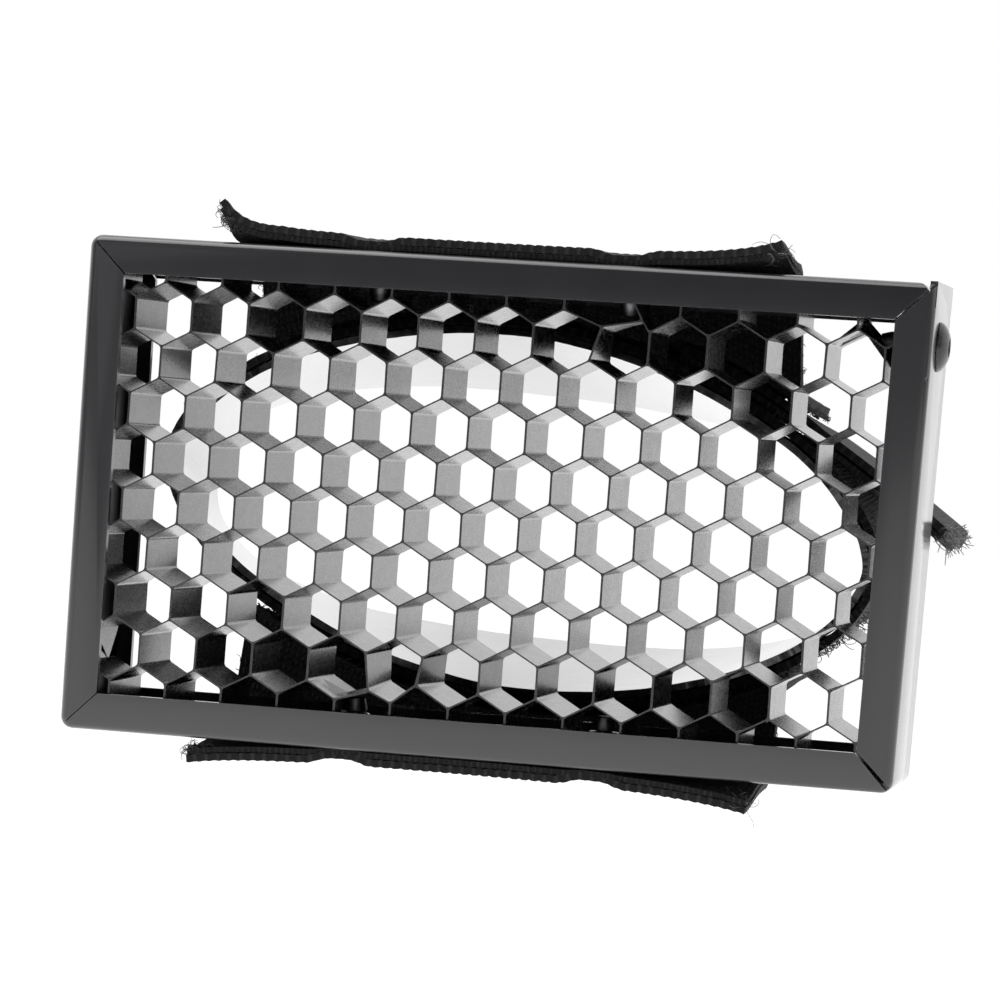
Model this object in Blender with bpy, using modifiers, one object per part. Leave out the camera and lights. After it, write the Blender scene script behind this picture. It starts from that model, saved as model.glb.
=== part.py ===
"""Honeycomb light grid for a camera flash, with its hook-and-loop flaps and its wrap-round strap.

A channel of thin sheet metal, bent into a rectangle and closed by one rivet at its upper right corner,
holds a deep honeycomb of thin black-coated foil. A hook-and-loop flap is riveted to its top wall and one to its bottom wall.
Both flaps reach back over a separate strap, a loop that is wound round the flash head.

Units are metres. +X is to the right seen from the front, +Y points back to the flash, +Z is up.
The origin is on the grid's own axis, half way along the strap's width, where the flash head sits.
"""

import math
from typing import NamedTuple

import bmesh
import bpy
from mathutils import Matrix, Vector

MM = 0.001

# Clearances
GAP = 0.3 * MM  # between pieces that touch
SLIDE_GAP = 0.5 * MM  # between a flap and the strap that it slides over

# Channel frame
FRAME_WIDTH = 92.0 * MM
FRAME_HEIGHT = 54.4 * MM
FRAME_DEPTH = 18.3 * MM
SHEET = 0.8 * MM
FRONT_LIP = 4.1 * MM
REAR_LIP_LONG = 4.0 * MM  # on the top and bottom walls
REAR_LIP_SHORT = 2.9 * MM  # on the side walls
CORNER_RADIUS = 1.6 * MM
LAP_TAB_LENGTH = 13.0 * MM  # the end of the top wall, bent down inside the right wall

# Honeycomb panel
CELL_PITCH = 6.35 * MM
ROW_PITCH = 5.27 * MM  # a regular honeycomb's is 5.5 mm: this one is squeezed a little in height
CELL_WALL = 0.2 * MM
PANEL_DEPTH = 12.7 * MM
LATTICE_SHIFT = (0.6 * MM, -2.5 * MM)  # centre of the middle cell
LATTICE_TILT = math.radians(-0.45)

# Flaps
FLAP_WIDTH = 62.0 * MM
FLAP_SHIFT = -0.7 * MM  # of its middle from the frame's
FLAP_SETBACK = 1.6 * MM  # from the frame's front face
WEBBING = 0.9 * MM
HOOK_LAYER = 0.6 * MM
FLAP_LANDING = 25.0 * MM  # how far the tail lies over the strap
FLAP_SWING = 8.5 * MM  # the sloping stretch from the frame to the strap
FLAP_SLOPE = ((0.22, 0.08), (0.55, 0.50), (0.85, 0.92), (1.10, 1.0))  # shares of the swing and of the drop

# Strap round the flash head
STRAP_WIDTH = 38.0 * MM
STRAP_GAP = 9.0 * MM  # from the frame's back to the strap's front edge
LINING = 0.8 * MM
FRONT_OPENING = (80.3 * MM, 40.2 * MM)
BACK_OPENING = (83.0 * MM, 30.0 * MM)
FRONT_CENTRE = (-1.5 * MM, -0.6 * MM)
BACK_CENTRE = (-5.4 * MM, -1.7 * MM)
FRONT_ROLL = math.radians(-6.2)
BACK_ROLL = math.radians(-3.0)
FRONT_POWER = 1.8  # 2 is an ellipse, more is squarer, less is more pointed
BACK_POWER = 2.5
OVERLAP_START = math.radians(66.0)
OVERLAP_END = math.radians(38.0)
TAB_LENGTH = 18.0 * MM

# Blind rivets
SHANK_RADIUS = 1.6 * MM
BORE_RADIUS = 1.25 * MM
STEM_RADIUS = 0.9 * MM
STEM_HEAD_RADIUS = 1.45 * MM
STEM_HEAD_LENGTH = 1.4 * MM
BULB_RADIUS = 2.2 * MM
BULB_LENGTH = 2.6 * MM
BULB_SHARES = (0.15, 0.60)  # where the bulb reaches and leaves its full width, from the wall
STEM_SINK = 0.4  # how deep the stem is broken off in the head, as a share of its height
FLAP_RIVET_HEAD = (2.5 * MM, 0.9 * MM)  # radius, height
CORNER_RIVET_HEAD = (2.7 * MM, 1.5 * MM)
FLAP_RIVET_SPACING = 28.0 * MM
FLAP_RIVET_SHIFT = FLAP_SHIFT
FLAP_RIVET_SETBACK = 8.5 * MM
CORNER_RIVET_SETBACK = 7.0 * MM
CORNER_RIVET_DROP = 6.6 * MM  # from the frame's top

# Worked out from the sizes above
STRAP_FRONT = -STRAP_WIDTH / 2
STRAP_BACK = STRAP_WIDTH / 2
FRAME_BACK = STRAP_FRONT - STRAP_GAP
FRAME_FRONT = FRAME_BACK - FRAME_DEPTH
CAVITY_HALF_WIDTH = FRAME_WIDTH / 2 - SHEET
CAVITY_HALF_HEIGHT = FRAME_HEIGHT / 2 - SHEET
STRAP_THICKNESS = LINING + GAP + WEBBING
OVERLAP_INNER = STRAP_THICKNESS + GAP
OVERLAP_THICKNESS = HOOK_LAYER + GAP + WEBBING
FLAP_THICKNESS = HOOK_LAYER + GAP + WEBBING

TURN_STEPS = 16
STEM_STEPS = 12
STRAP_STEP_DEGREES = 5
CUTTER_OVERSHOOT = 2.0 * MM

FINISHES = {  # colour, roughness, metallic
    "black_paint": ((0.020, 0.020, 0.023), 0.38, 0.0),
    "black_foil": ((0.025, 0.025, 0.026), 0.35, 0.4),
    "bright_rivet": ((0.78, 0.78, 0.80), 0.20, 1.0),
    "black_rivet": ((0.030, 0.030, 0.032), 0.30, 0.2),
    "stem_steel": ((0.50, 0.50, 0.52), 0.35, 1.0),
    "webbing": ((0.035, 0.035, 0.038), 0.90, 0.0),
    "hook_tape": ((0.012, 0.012, 0.013), 0.80, 0.0),
    "grip_lining": ((0.055, 0.055, 0.060), 0.25, 0.0),
}


def clear_scene():
    for obj in list(bpy.data.objects):
        bpy.data.objects.remove(obj, do_unlink=True)


def make_collection(name):
    collection = bpy.data.collections.new(name)
    bpy.context.scene.collection.children.link(collection)
    return collection


def finish_material(node, finish):
    """A material of the node's own, in one of the named finishes."""
    colour, roughness, metallic = FINISHES[finish]
    material = bpy.data.materials.new(f"{node}_{finish}")
    material.use_nodes = True
    shader = material.node_tree.nodes["Principled BSDF"]
    shader.inputs["Base Color"].default_value = (*colour, 1.0)
    shader.inputs["Roughness"].default_value = roughness
    shader.inputs["Metallic"].default_value = metallic
    return material


def object_from(bm, name, collection, finish=None):
    """A new object that holds the bmesh, with its normals facing out."""
    bmesh.ops.recalc_face_normals(bm, faces=bm.faces)
    mesh = bpy.data.meshes.new(name)
    bm.to_mesh(mesh)
    bm.free()
    obj = bpy.data.objects.new(name, mesh)
    collection.objects.link(obj)
    if finish:
        mesh.materials.append(finish_material(name, finish))
    return obj


def cutter_from(bm, name):
    cutter = object_from(bm, name, CUTTERS)
    cutter.hide_render = True
    cutter.display_type = "WIRE"
    return cutter


def cut(obj, cutter):
    boolean = obj.modifiers.new(cutter.name, "BOOLEAN")
    boolean.operation = "DIFFERENCE"
    boolean.solver = "EXACT"
    boolean.object = cutter


def box(low, high):
    """A bmesh box between two corners."""
    low, high = Vector(low), Vector(high)
    bm = bmesh.new()
    bmesh.ops.create_cube(bm, size=1.0)
    bmesh.ops.scale(bm, vec=high - low, verts=bm.verts)
    bmesh.ops.translate(bm, vec=(low + high) / 2, verts=bm.verts)
    return bm


def rounded_frame_block(width, height, radius, front, back):
    """A block with its four edges along Y rounded, as the bends of a sheet-metal frame are."""
    bm = box((-width / 2, front, -height / 2), (width / 2, back, height / 2))
    along_y = [
        edge for edge in bm.edges if abs((edge.verts[0].co - edge.verts[1].co).normalized().y) > 0.9
    ]
    bmesh.ops.bevel(
        bm, geom=along_y, offset=radius, offset_type="OFFSET", segments=4, profile=0.5, affect="EDGES"
    )
    return bm


def keep_largest_body(obj):
    """Applies the modifiers and drops the chips of cell wall that the panel's trimmed corners leave loose."""
    graph = bpy.context.evaluated_depsgraph_get()
    mesh = bpy.data.meshes.new_from_object(obj.evaluated_get(graph))
    bm = bmesh.new()
    bm.from_mesh(mesh)
    unseen = set(bm.verts)
    bodies = []
    while unseen:
        body, edge_of_body = set(), [unseen.pop()]
        while edge_of_body:
            vert = edge_of_body.pop()
            body.add(vert)
            for edge in vert.link_edges:
                other = edge.other_vert(vert)
                if other in unseen:
                    unseen.remove(other)
                    edge_of_body.append(other)
        bodies.append(body)
    bodies.sort(key=len)
    for body in bodies[:-1]:
        bmesh.ops.delete(bm, geom=list(body), context="VERTS")
    bm.to_mesh(mesh)
    bm.free()
    obj.modifiers.clear()
    obj.data = mesh


# Frame and honeycomb


def make_frame_channel():
    """The channel: front lip, walls and rear lip, with the lap tab inside its upper right corner."""
    frame = object_from(
        rounded_frame_block(FRAME_WIDTH, FRAME_HEIGHT, CORNER_RADIUS, FRAME_FRONT, FRAME_BACK),
        "frame_channel", PARTS, "black_paint",
    )
    cavity = rounded_frame_block(
        2 * CAVITY_HALF_WIDTH, 2 * CAVITY_HALF_HEIGHT, CORNER_RADIUS - SHEET,
        FRAME_FRONT + SHEET, FRAME_BACK - SHEET,
    )
    cavity_cutter = cutter_from(cavity, "cavity_cutter")
    tab_bottom = CAVITY_HALF_HEIGHT - LAP_TAB_LENGTH
    lap_tab = box(
        (CAVITY_HALF_WIDTH - SHEET, FRAME_FRONT, tab_bottom),
        (FRAME_WIDTH / 2, FRAME_BACK, FRAME_HEIGHT / 2),
    )
    cut(cavity_cutter, cutter_from(lap_tab, "lap_tab_kept"))
    cut(frame, cavity_cutter)
    middle = (FRAME_FRONT + FRAME_BACK) / 2
    for name, side, top, front, back in (
        ("front_window", FRONT_LIP, FRONT_LIP, FRAME_FRONT - CUTTER_OVERSHOOT, middle),
        ("rear_window", REAR_LIP_SHORT, REAR_LIP_LONG, middle, FRAME_BACK + CUTTER_OVERSHOOT),
    ):
        x, z = FRAME_WIDTH / 2 - side, FRAME_HEIGHT / 2 - top
        cut(frame, cutter_from(box((-x, front, -z), (x, back, z)), name))
    return frame


def hexagon_prism(bm, centre_x, centre_z, front, back):
    """A pointy-top hexagonal prism along Y, the open inside of one cell."""
    side = CELL_PITCH / math.sqrt(3)
    regular_row_pitch = 1.5 * side
    radius = side - CELL_WALL / math.sqrt(3)
    made = bmesh.ops.create_cone(
        bm, cap_ends=True, segments=6, radius1=radius, radius2=radius, depth=back - front
    )["verts"]
    bmesh.ops.rotate(bm, verts=made, matrix=Matrix.Rotation(math.radians(90), 3, "X"))
    bmesh.ops.scale(bm, verts=made, vec=(1, 1, ROW_PITCH / regular_row_pitch))
    bmesh.ops.translate(bm, verts=made, vec=(centre_x, (front + back) / 2, centre_z))


def make_honeycomb_panel():
    """The panel: a block as large as the channel's cavity, with every cell cut through it."""
    half_width = CAVITY_HALF_WIDTH - SHEET - 2 * GAP
    half_height = CAVITY_HALF_HEIGHT - GAP
    front = FRAME_FRONT + SHEET + GAP
    back = front + PANEL_DEPTH
    panel = object_from(
        box((-half_width, front, -half_height), (half_width, back, half_height)),
        "honeycomb_panel", PARTS, "black_foil",
    )
    cells = bmesh.new()
    rows = math.ceil(half_height / ROW_PITCH) + 1
    columns = math.ceil(half_width / CELL_PITCH) + 1
    for row in range(-rows, rows + 1):
        for column in range(-columns, columns + 1):
            x = (column + (row % 2) / 2) * CELL_PITCH
            hexagon_prism(cells, x, row * ROW_PITCH, front - CUTTER_OVERSHOOT, back + CUTTER_OVERSHOOT)
    bmesh.ops.rotate(cells, verts=cells.verts, matrix=Matrix.Rotation(-LATTICE_TILT, 3, "Y"))
    bmesh.ops.translate(cells, verts=cells.verts, vec=(LATTICE_SHIFT[0], 0, LATTICE_SHIFT[1]))
    cut(panel, cutter_from(cells, "cells_cutter"))
    for rivet in rivets():
        pocket = bmesh.new()
        depth = rivet.grip_in + BULB_LENGTH + STEM_HEAD_LENGTH + 3 * GAP
        bmesh.ops.create_cone(
            pocket, cap_ends=True, segments=TURN_STEPS,
            radius1=BULB_RADIUS + GAP, radius2=BULB_RADIUS + GAP, depth=2 * depth,
        )
        bmesh.ops.transform(pocket, verts=pocket.verts, matrix=rivet.place)
        cut(panel, cutter_from(pocket, f"{rivet.name}_pocket"))
    keep_largest_body(panel)
    return panel


# Rivets


class Rivet(NamedTuple):
    """Where a rivet is and what it holds. Its local +Z points out of the wall, from the wall's outer face."""

    name: str
    place: Matrix
    grip_out: float
    grip_in: float
    head: tuple
    finish: str


def rivets():
    y = FRAME_FRONT + FLAP_RIVET_SETBACK
    found = []
    for wall, up in (("top", 1), ("bottom", -1)):
        turn = Matrix.Rotation(0 if up > 0 else math.pi, 4, "X")
        for end, side in (("left", -1), ("right", 1)):
            x = FLAP_RIVET_SHIFT + side * FLAP_RIVET_SPACING / 2
            place = Matrix.Translation((x, y, up * FRAME_HEIGHT / 2)) @ turn
            found.append(
                Rivet(
                    f"{wall}_rivet_{end}", place, GAP + FLAP_THICKNESS, SHEET, FLAP_RIVET_HEAD, "bright_rivet"
                )
            )
    corner = Matrix.Translation(
        (FRAME_WIDTH / 2, FRAME_FRONT + CORNER_RIVET_SETBACK, FRAME_HEIGHT / 2 - CORNER_RIVET_DROP)
    )
    corner = corner @ Matrix.Rotation(math.radians(90), 4, "Y")
    found.append(Rivet("corner_rivet", corner, 0.0, 2 * SHEET, CORNER_RIVET_HEAD, "black_rivet"))
    return found


def turned(name, profile, steps, place, finish):
    """A solid turned about local Z from (radius, height) points that run down its outer side."""
    mesh = bpy.data.meshes.new(name)
    loop = profile[0][0] > 0 and profile[-1][0] > 0
    edges = [(i, i + 1) for i in range(len(profile) - 1)]
    if loop:
        edges.append((len(profile) - 1, 0))
    mesh.from_pydata([(radius, 0, height) for radius, height in profile], edges, [])
    obj = bpy.data.objects.new(name, mesh)
    PARTS.objects.link(obj)
    screw = obj.modifiers.new("turn", "SCREW")
    screw.axis = "Z"
    screw.steps = screw.render_steps = steps
    screw.use_merge_vertices = True
    screw.merge_threshold = 1e-6
    screw.use_smooth_shade = True
    mesh.materials.append(finish_material(name, finish))
    obj.matrix_world = place
    return obj


def make_rivet(rivet):
    """A set blind rivet, and the stem left in it."""
    head_radius, head_height = rivet.head
    seat = rivet.grip_out + GAP
    top = seat + head_height
    tail = -rivet.grip_in - GAP
    end = tail - BULB_LENGTH
    dome = [
        (BORE_RADIUS + (head_radius - BORE_RADIUS) * math.sin(turn), seat + head_height * math.cos(turn))
        for turn in (math.radians(15 * step) for step in range(1, 6))
    ]
    body = [
        (BORE_RADIUS, top), *dome, (head_radius, seat), (SHANK_RADIUS, seat), (SHANK_RADIUS, tail),
        *((BULB_RADIUS, tail - share * BULB_LENGTH) for share in BULB_SHARES),
        (SHANK_RADIUS, end), (BORE_RADIUS, end),
    ]
    turned(rivet.name, body, TURN_STEPS, rivet.place, rivet.finish)
    stem_top = top - STEM_SINK * head_height
    shoulder = end - GAP
    stem = [
        (0, stem_top), (STEM_RADIUS, stem_top), (STEM_RADIUS, shoulder),
        (STEM_HEAD_RADIUS, shoulder - 0.2 * STEM_HEAD_LENGTH),
        (0.8 * STEM_HEAD_RADIUS, shoulder - STEM_HEAD_LENGTH), (0, shoulder - STEM_HEAD_LENGTH),
    ]
    turned(f"{rivet.name}_stem", stem, STEM_STEPS, rivet.place, "stem_steel")


def shank_hole(obj, rivet):
    """Cuts the clearance hole of a rivet's shank through a piece that it holds."""
    hole = bmesh.new()
    reach = FLAP_THICKNESS + 4 * GAP + 2 * SHEET
    bmesh.ops.create_cone(
        hole, cap_ends=True, segments=TURN_STEPS,
        radius1=SHANK_RADIUS + GAP, radius2=SHANK_RADIUS + GAP, depth=2 * reach,
    )
    bmesh.ops.transform(hole, verts=hole.verts, matrix=rivet.place)
    cut(obj, cutter_from(hole, f"{obj.name}_{rivet.name}_hole"))


# Flaps


def flap_rest_height():
    """How high a flap's inner face lies above the origin where it passes over the strap, top and bottom."""
    outer = [
        strap_point(math.radians(angle), 0.0, offset)
        for angle in range(360)
        for offset in (
            [OVERLAP_INNER + OVERLAP_THICKNESS]
            if OVERLAP_END <= math.radians(angle) <= OVERLAP_START
            else [STRAP_THICKNESS]
        )
    ]
    return max(p.z for p in outer) + SLIDE_GAP, min(p.z for p in outer) - SLIDE_GAP


def flap_profile(up, rest):
    """(y, z) points of the inner face of a flap's tail, from the frame's back to its free end."""
    start = FRAME_BACK + GAP
    root = up * (FRAME_HEIGHT / 2 + GAP)
    slope = [(start + along * FLAP_SWING, root - down * (root - rest)) for along, down in FLAP_SLOPE]
    return [(start, root), *slope, (STRAP_FRONT + FLAP_LANDING, rest)]


def strip_solid(name, inner, outer, finish):
    """A strip of the flap's width between two (y, z) profiles of the same number of points."""
    low, high = FLAP_SHIFT - FLAP_WIDTH / 2, FLAP_SHIFT + FLAP_WIDTH / 2
    outline = inner + outer[::-1]
    bm = bmesh.new()
    face = bm.faces.new([bm.verts.new((low, y, z)) for y, z in outline])
    swept = bmesh.ops.extrude_face_region(bm, geom=[face])["geom"]
    moved = [item for item in swept if isinstance(item, bmesh.types.BMVert)]
    bmesh.ops.translate(bm, verts=moved, vec=(high - low, 0, 0))
    return object_from(bm, name, PARTS, finish)


def offset_profile(profile, distance):
    """The profile moved sideways by a distance, along the mean of its neighbours' normals."""
    moved = []
    for i, (y, z) in enumerate(profile):
        before = Vector(profile[max(i - 1, 0)])
        after = Vector(profile[min(i + 1, len(profile) - 1)])
        run = (after - before).normalized()
        moved.append((y - run.y * distance, z + run.x * distance))
    first = (profile[0][0], moved[0][1])
    return [first, *moved[1:]]


def make_flap(wall, up, rest):
    """One flap: hook layer inside, webbing outside, each as a riveted root and a free tail."""
    face = up * FRAME_HEIGHT / 2
    front = FRAME_FRONT + FLAP_SETBACK
    layers = (
        ("hook", "hook_tape", GAP, GAP + HOOK_LAYER),
        ("webbing", "webbing", GAP + FLAP_THICKNESS - WEBBING, GAP + FLAP_THICKNESS),
    )
    low, high = FLAP_SHIFT - FLAP_WIDTH / 2, FLAP_SHIFT + FLAP_WIDTH / 2
    inner = flap_profile(up, rest)
    for layer, finish, near, far in layers:
        z = sorted((face + up * near, face + up * far))
        root = object_from(
            box((low, front, z[0]), (high, FRAME_BACK, z[1])), f"{wall}_flap_root_{layer}", PARTS, finish
        )
        for rivet in rivets():
            if rivet.name.startswith(wall):
                shank_hole(root, rivet)
        strip_solid(
            f"{wall}_flap_tail_{layer}",
            offset_profile(inner, up * (near - GAP)),
            offset_profile(inner, up * (far - GAP)),
            finish,
        )


# Strap


def oval_point(angle, opening, centre, roll, squareness, offset):
    """A point of a superellipse in the XZ plane, pushed out by an offset along its normal."""
    half_width, half_height = opening[0] / 2, opening[1] / 2
    cos, sin = math.cos(angle), math.sin(angle)
    power = 2 / squareness
    x = half_width * math.copysign(abs(cos) ** power, cos)
    z = half_height * math.copysign(abs(sin) ** power, sin)
    normal = Vector(
        (
            math.copysign(abs(cos) ** (2 - power), cos) / half_width,
            math.copysign(abs(sin) ** (2 - power), sin) / half_height,
        )
    ).normalized()
    point = Vector((x, z)) + normal * offset
    turn = Matrix.Rotation(roll, 2)
    return turn @ point + Vector(centre)


def strap_point(angle, along, offset):
    """A point at an angle round the loop, along 0 at its front edge and 1 at its back, off its inner face."""
    front = oval_point(angle, FRONT_OPENING, FRONT_CENTRE, FRONT_ROLL, FRONT_POWER, offset)
    back = oval_point(angle, BACK_OPENING, BACK_CENTRE, BACK_ROLL, BACK_POWER, offset)
    place = front.lerp(back, along)
    return Vector((place.x, STRAP_FRONT + along * STRAP_WIDTH, place.y))


def loft(name, sections, closed, finish):
    """A solid through four-cornered sections, joined end to end when closed and capped when not."""
    bm = bmesh.new()
    rings = [[bm.verts.new(corner) for corner in section] for section in sections]
    count = len(rings)
    for i in range(count if closed else count - 1):
        here, there = rings[i], rings[(i + 1) % count]
        for k in range(4):
            bm.faces.new((here[k], here[(k + 1) % 4], there[(k + 1) % 4], there[k]))
    if not closed:
        bm.faces.new(rings[0])
        bm.faces.new(rings[-1][::-1])
    return object_from(bm, name, PARTS, finish)


def strap_section(angle, low, high):
    """The four corners of the strap's section at an angle, between two offsets from its inner face."""
    return [
        strap_point(angle, along, offset) for along, offset in ((0, low), (1, low), (1, high), (0, high))
    ]


def tab_frame():
    """Where the free tab starts, front and back, and the one way that it points, straight on from the loop."""
    before = OVERLAP_END + math.radians(2)
    roots = [strap_point(OVERLAP_END, along, OVERLAP_INNER) for along in (0, 1)]
    runs = [root - strap_point(before, along, OVERLAP_INNER) for along, root in enumerate(roots)]
    return roots, (runs[0].normalized() + runs[1].normalized()).normalized()


def tab_section(distance, low, high):
    """The four corners of the tab's section at a distance from its root."""
    roots, run = tab_frame()
    out = Vector((-run.z, 0, run.x))
    return [roots[end] + run * distance + out * offset for end, offset in ((0, low), (1, low), (1, high), (0, high))]


def make_strap():
    """The loop, its grip lining, and the end that laps over it and stands off as a pull tab."""
    steps = [math.radians(angle) for angle in range(0, 360, STRAP_STEP_DEGREES)]
    loft("strap_lining", [strap_section(a, 0, LINING) for a in steps], True, "grip_lining")
    loft(
        "strap_webbing", [strap_section(a, LINING + GAP, STRAP_THICKNESS) for a in steps], True, "webbing"
    )
    layers = (
        ("hook", "hook_tape", 0.0, HOOK_LAYER),
        ("webbing", "webbing", HOOK_LAYER + GAP, OVERLAP_THICKNESS),
    )
    count = 8
    span = OVERLAP_START - OVERLAP_END
    for layer, finish, low, high in layers:
        lap = [
            strap_section(OVERLAP_START - span * i / count, OVERLAP_INNER + low, OVERLAP_INNER + high)
            for i in range(count + 1)
        ]
        loft(f"strap_overlap_{layer}", lap, False, finish)
        tab = [tab_section(distance, low, high) for distance in (GAP, TAB_LENGTH)]
        loft(f"strap_tab_{layer}", tab, False, finish)


def main():
    frame = make_frame_channel()
    for rivet in rivets():
        shank_hole(frame, rivet)
        make_rivet(rivet)
    make_honeycomb_panel()
    rest_top, rest_bottom = flap_rest_height()
    make_flap("top", 1, rest_top)
    make_flap("bottom", -1, rest_bottom)
    make_strap()


clear_scene()
PARTS = make_collection("flash_honeycomb_grid")
CUTTERS = make_collection("cutters")
CUTTERS.hide_render = True
main()
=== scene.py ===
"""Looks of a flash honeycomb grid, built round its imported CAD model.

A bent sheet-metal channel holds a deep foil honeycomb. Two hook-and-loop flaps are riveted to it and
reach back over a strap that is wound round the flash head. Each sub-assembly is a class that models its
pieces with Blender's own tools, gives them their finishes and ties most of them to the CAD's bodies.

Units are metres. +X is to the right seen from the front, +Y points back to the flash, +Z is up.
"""

import logging
import math
import random
from collections.abc import Callable, Iterator
from contextlib import contextmanager
from dataclasses import dataclass, field
from enum import Enum

import bmesh
import bpy
from mathutils import Matrix, Vector, noise


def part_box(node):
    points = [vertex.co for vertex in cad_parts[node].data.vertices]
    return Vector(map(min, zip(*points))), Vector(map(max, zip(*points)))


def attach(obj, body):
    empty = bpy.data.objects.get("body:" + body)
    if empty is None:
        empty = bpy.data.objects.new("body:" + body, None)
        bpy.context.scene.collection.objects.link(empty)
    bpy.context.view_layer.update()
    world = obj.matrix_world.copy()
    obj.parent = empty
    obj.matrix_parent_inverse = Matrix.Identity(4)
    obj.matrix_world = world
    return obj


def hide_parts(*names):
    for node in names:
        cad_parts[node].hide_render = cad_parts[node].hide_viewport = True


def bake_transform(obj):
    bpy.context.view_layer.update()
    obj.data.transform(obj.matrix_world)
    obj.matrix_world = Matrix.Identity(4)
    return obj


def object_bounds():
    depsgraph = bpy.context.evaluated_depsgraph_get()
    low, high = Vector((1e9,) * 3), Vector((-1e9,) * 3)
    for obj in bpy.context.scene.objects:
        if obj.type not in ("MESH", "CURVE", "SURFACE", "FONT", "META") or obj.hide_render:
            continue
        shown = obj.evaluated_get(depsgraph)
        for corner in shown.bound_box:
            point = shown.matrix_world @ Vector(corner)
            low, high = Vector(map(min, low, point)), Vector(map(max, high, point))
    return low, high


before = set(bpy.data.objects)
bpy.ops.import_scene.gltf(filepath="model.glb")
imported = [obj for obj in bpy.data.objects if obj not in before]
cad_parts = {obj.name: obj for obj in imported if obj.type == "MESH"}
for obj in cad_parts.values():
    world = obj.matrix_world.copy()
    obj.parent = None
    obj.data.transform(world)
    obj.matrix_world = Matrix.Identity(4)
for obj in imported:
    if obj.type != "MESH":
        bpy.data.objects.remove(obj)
CAD_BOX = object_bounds()

LOG = logging.getLogger("flash_grid")
MM = 0.001
NOISE_SEED = 7
X_AXIS, Y_AXIS, Z_AXIS = Vector((1, 0, 0)), Vector((0, 1, 0)), Vector((0, 0, 1))

Place = Callable[[float, float], Vector]
Test = Callable[[object], bool]


class Pick(Enum):
    """What an edit-mode selection is made of."""

    VERT = "VERT"
    EDGE = "EDGE"
    FACE = "FACE"


class Side(Enum):
    """The wall that a flap is riveted to, with the way that it faces."""

    TOP = 1
    BOTTOM = -1

    @property
    def label(self) -> str:
        """The wall's name in the CAD's node names."""
        return self.name.lower()


# Modelling helpers


def activate(*objects: bpy.types.Object) -> None:
    """Leaves only these objects selected, the first of them active."""
    if bpy.context.mode != "OBJECT":
        bpy.ops.object.mode_set(mode="OBJECT")
    bpy.ops.object.select_all(action="DESELECT")
    for obj in objects:
        obj.select_set(True)
    bpy.context.view_layer.objects.active = objects[0]


@contextmanager
def editing(obj: bpy.types.Object) -> Iterator[None]:
    """Edit mode on one object, with nothing selected at the start."""
    activate(obj)
    bpy.ops.object.mode_set(mode="EDIT")
    bpy.ops.mesh.select_all(action="DESELECT")
    yield
    bpy.ops.object.mode_set(mode="OBJECT")


def pick(obj: bpy.types.Object, kind: Pick, wanted: Test) -> int:
    """Selects the elements that a test picks, and no others, in edit mode.

    Args:
        obj: The object in edit mode.
        kind: Whether vertices, edges or faces are tested.
        wanted: The test, given a bmesh element.

    Returns:
        How many were picked.
    """
    bpy.ops.mesh.select_mode(type=kind.value)
    bpy.ops.mesh.select_all(action="DESELECT")
    mesh = bmesh.from_edit_mesh(obj.data)
    elements = {Pick.VERT: mesh.verts, Pick.EDGE: mesh.edges, Pick.FACE: mesh.faces}[kind]
    found = [element for element in elements if wanted(element)]
    for element in found:
        element.select_set(True)
    mesh.select_flush_mode()
    bmesh.update_edit_mesh(obj.data)
    return len(found)


def runs_along(edge: bmesh.types.BMEdge, axis: Vector) -> bool:
    """Whether an edge runs along an axis."""
    run = edge.verts[1].co - edge.verts[0].co
    return run.length > 0 and abs(run.normalized().dot(axis)) > 0.99


def settle(obj: bpy.types.Object) -> bpy.types.Object:
    """Puts an object's place, turn and scale into its mesh."""
    activate(obj)
    bpy.ops.object.transform_apply(location=True, rotation=True, scale=True)
    return obj


def block(name: str, low: Vector, high: Vector) -> bpy.types.Object:
    """A box between two corners, as a start for further shaping."""
    bpy.ops.object.select_all(action="DESELECT")
    bpy.ops.mesh.primitive_cube_add(size=1, location=(Vector(low) + Vector(high)) / 2)
    obj = bpy.context.active_object
    obj.name = obj.data.name = name
    obj.scale = Vector(high) - Vector(low)
    return settle(obj)


def rod(name: str, centre: Vector, axis: Vector, radius: float, length: float, steps: int = 24) -> bpy.types.Object:
    """A round bar centred on a point, used to drill or round other pieces."""
    bpy.ops.object.select_all(action="DESELECT")
    bpy.ops.mesh.primitive_cylinder_add(
        vertices=steps, radius=radius, depth=length, location=centre,
        rotation=Vector(axis).to_track_quat("Z", "Y").to_euler(),
    )
    obj = bpy.context.active_object
    obj.name = name
    return settle(obj)


def apply_modifier(obj: bpy.types.Object, kind: str, **settings: object) -> None:
    """Adds a modifier with its settings and applies it."""
    activate(obj)
    modifier = obj.modifiers.new(kind.lower(), kind)
    for name, value in settings.items():
        setattr(modifier, name, value)
    bpy.ops.object.modifier_apply(modifier=modifier.name)


def combine(obj: bpy.types.Object, other: bpy.types.Object, operation: str = "DIFFERENCE") -> None:
    """Cuts another object from this one, or joins or crosses them, and removes the other."""
    apply_modifier(obj, "BOOLEAN", operation=operation, solver="EXACT", object=other)
    bpy.data.objects.remove(other, do_unlink=True)


def tidy_mesh(obj: bpy.types.Object, smooth: float | None = 35.0, merge: float = 0.005 * MM) -> None:
    """Merges doubles, turns the faces outwards and sets the shading.

    Args:
        obj: The finished piece.
        smooth: Edges flatter than this many degrees shade smooth. None leaves the faces flat.
        merge: Points nearer than this become one.
    """
    with editing(obj):
        bpy.ops.mesh.select_all(action="SELECT")
        bpy.ops.mesh.remove_doubles(threshold=merge)
        bpy.ops.mesh.normals_make_consistent(inside=False)
    if smooth is not None:
        activate(obj)
        bpy.ops.object.shade_smooth_by_angle(angle=math.radians(smooth))


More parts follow.
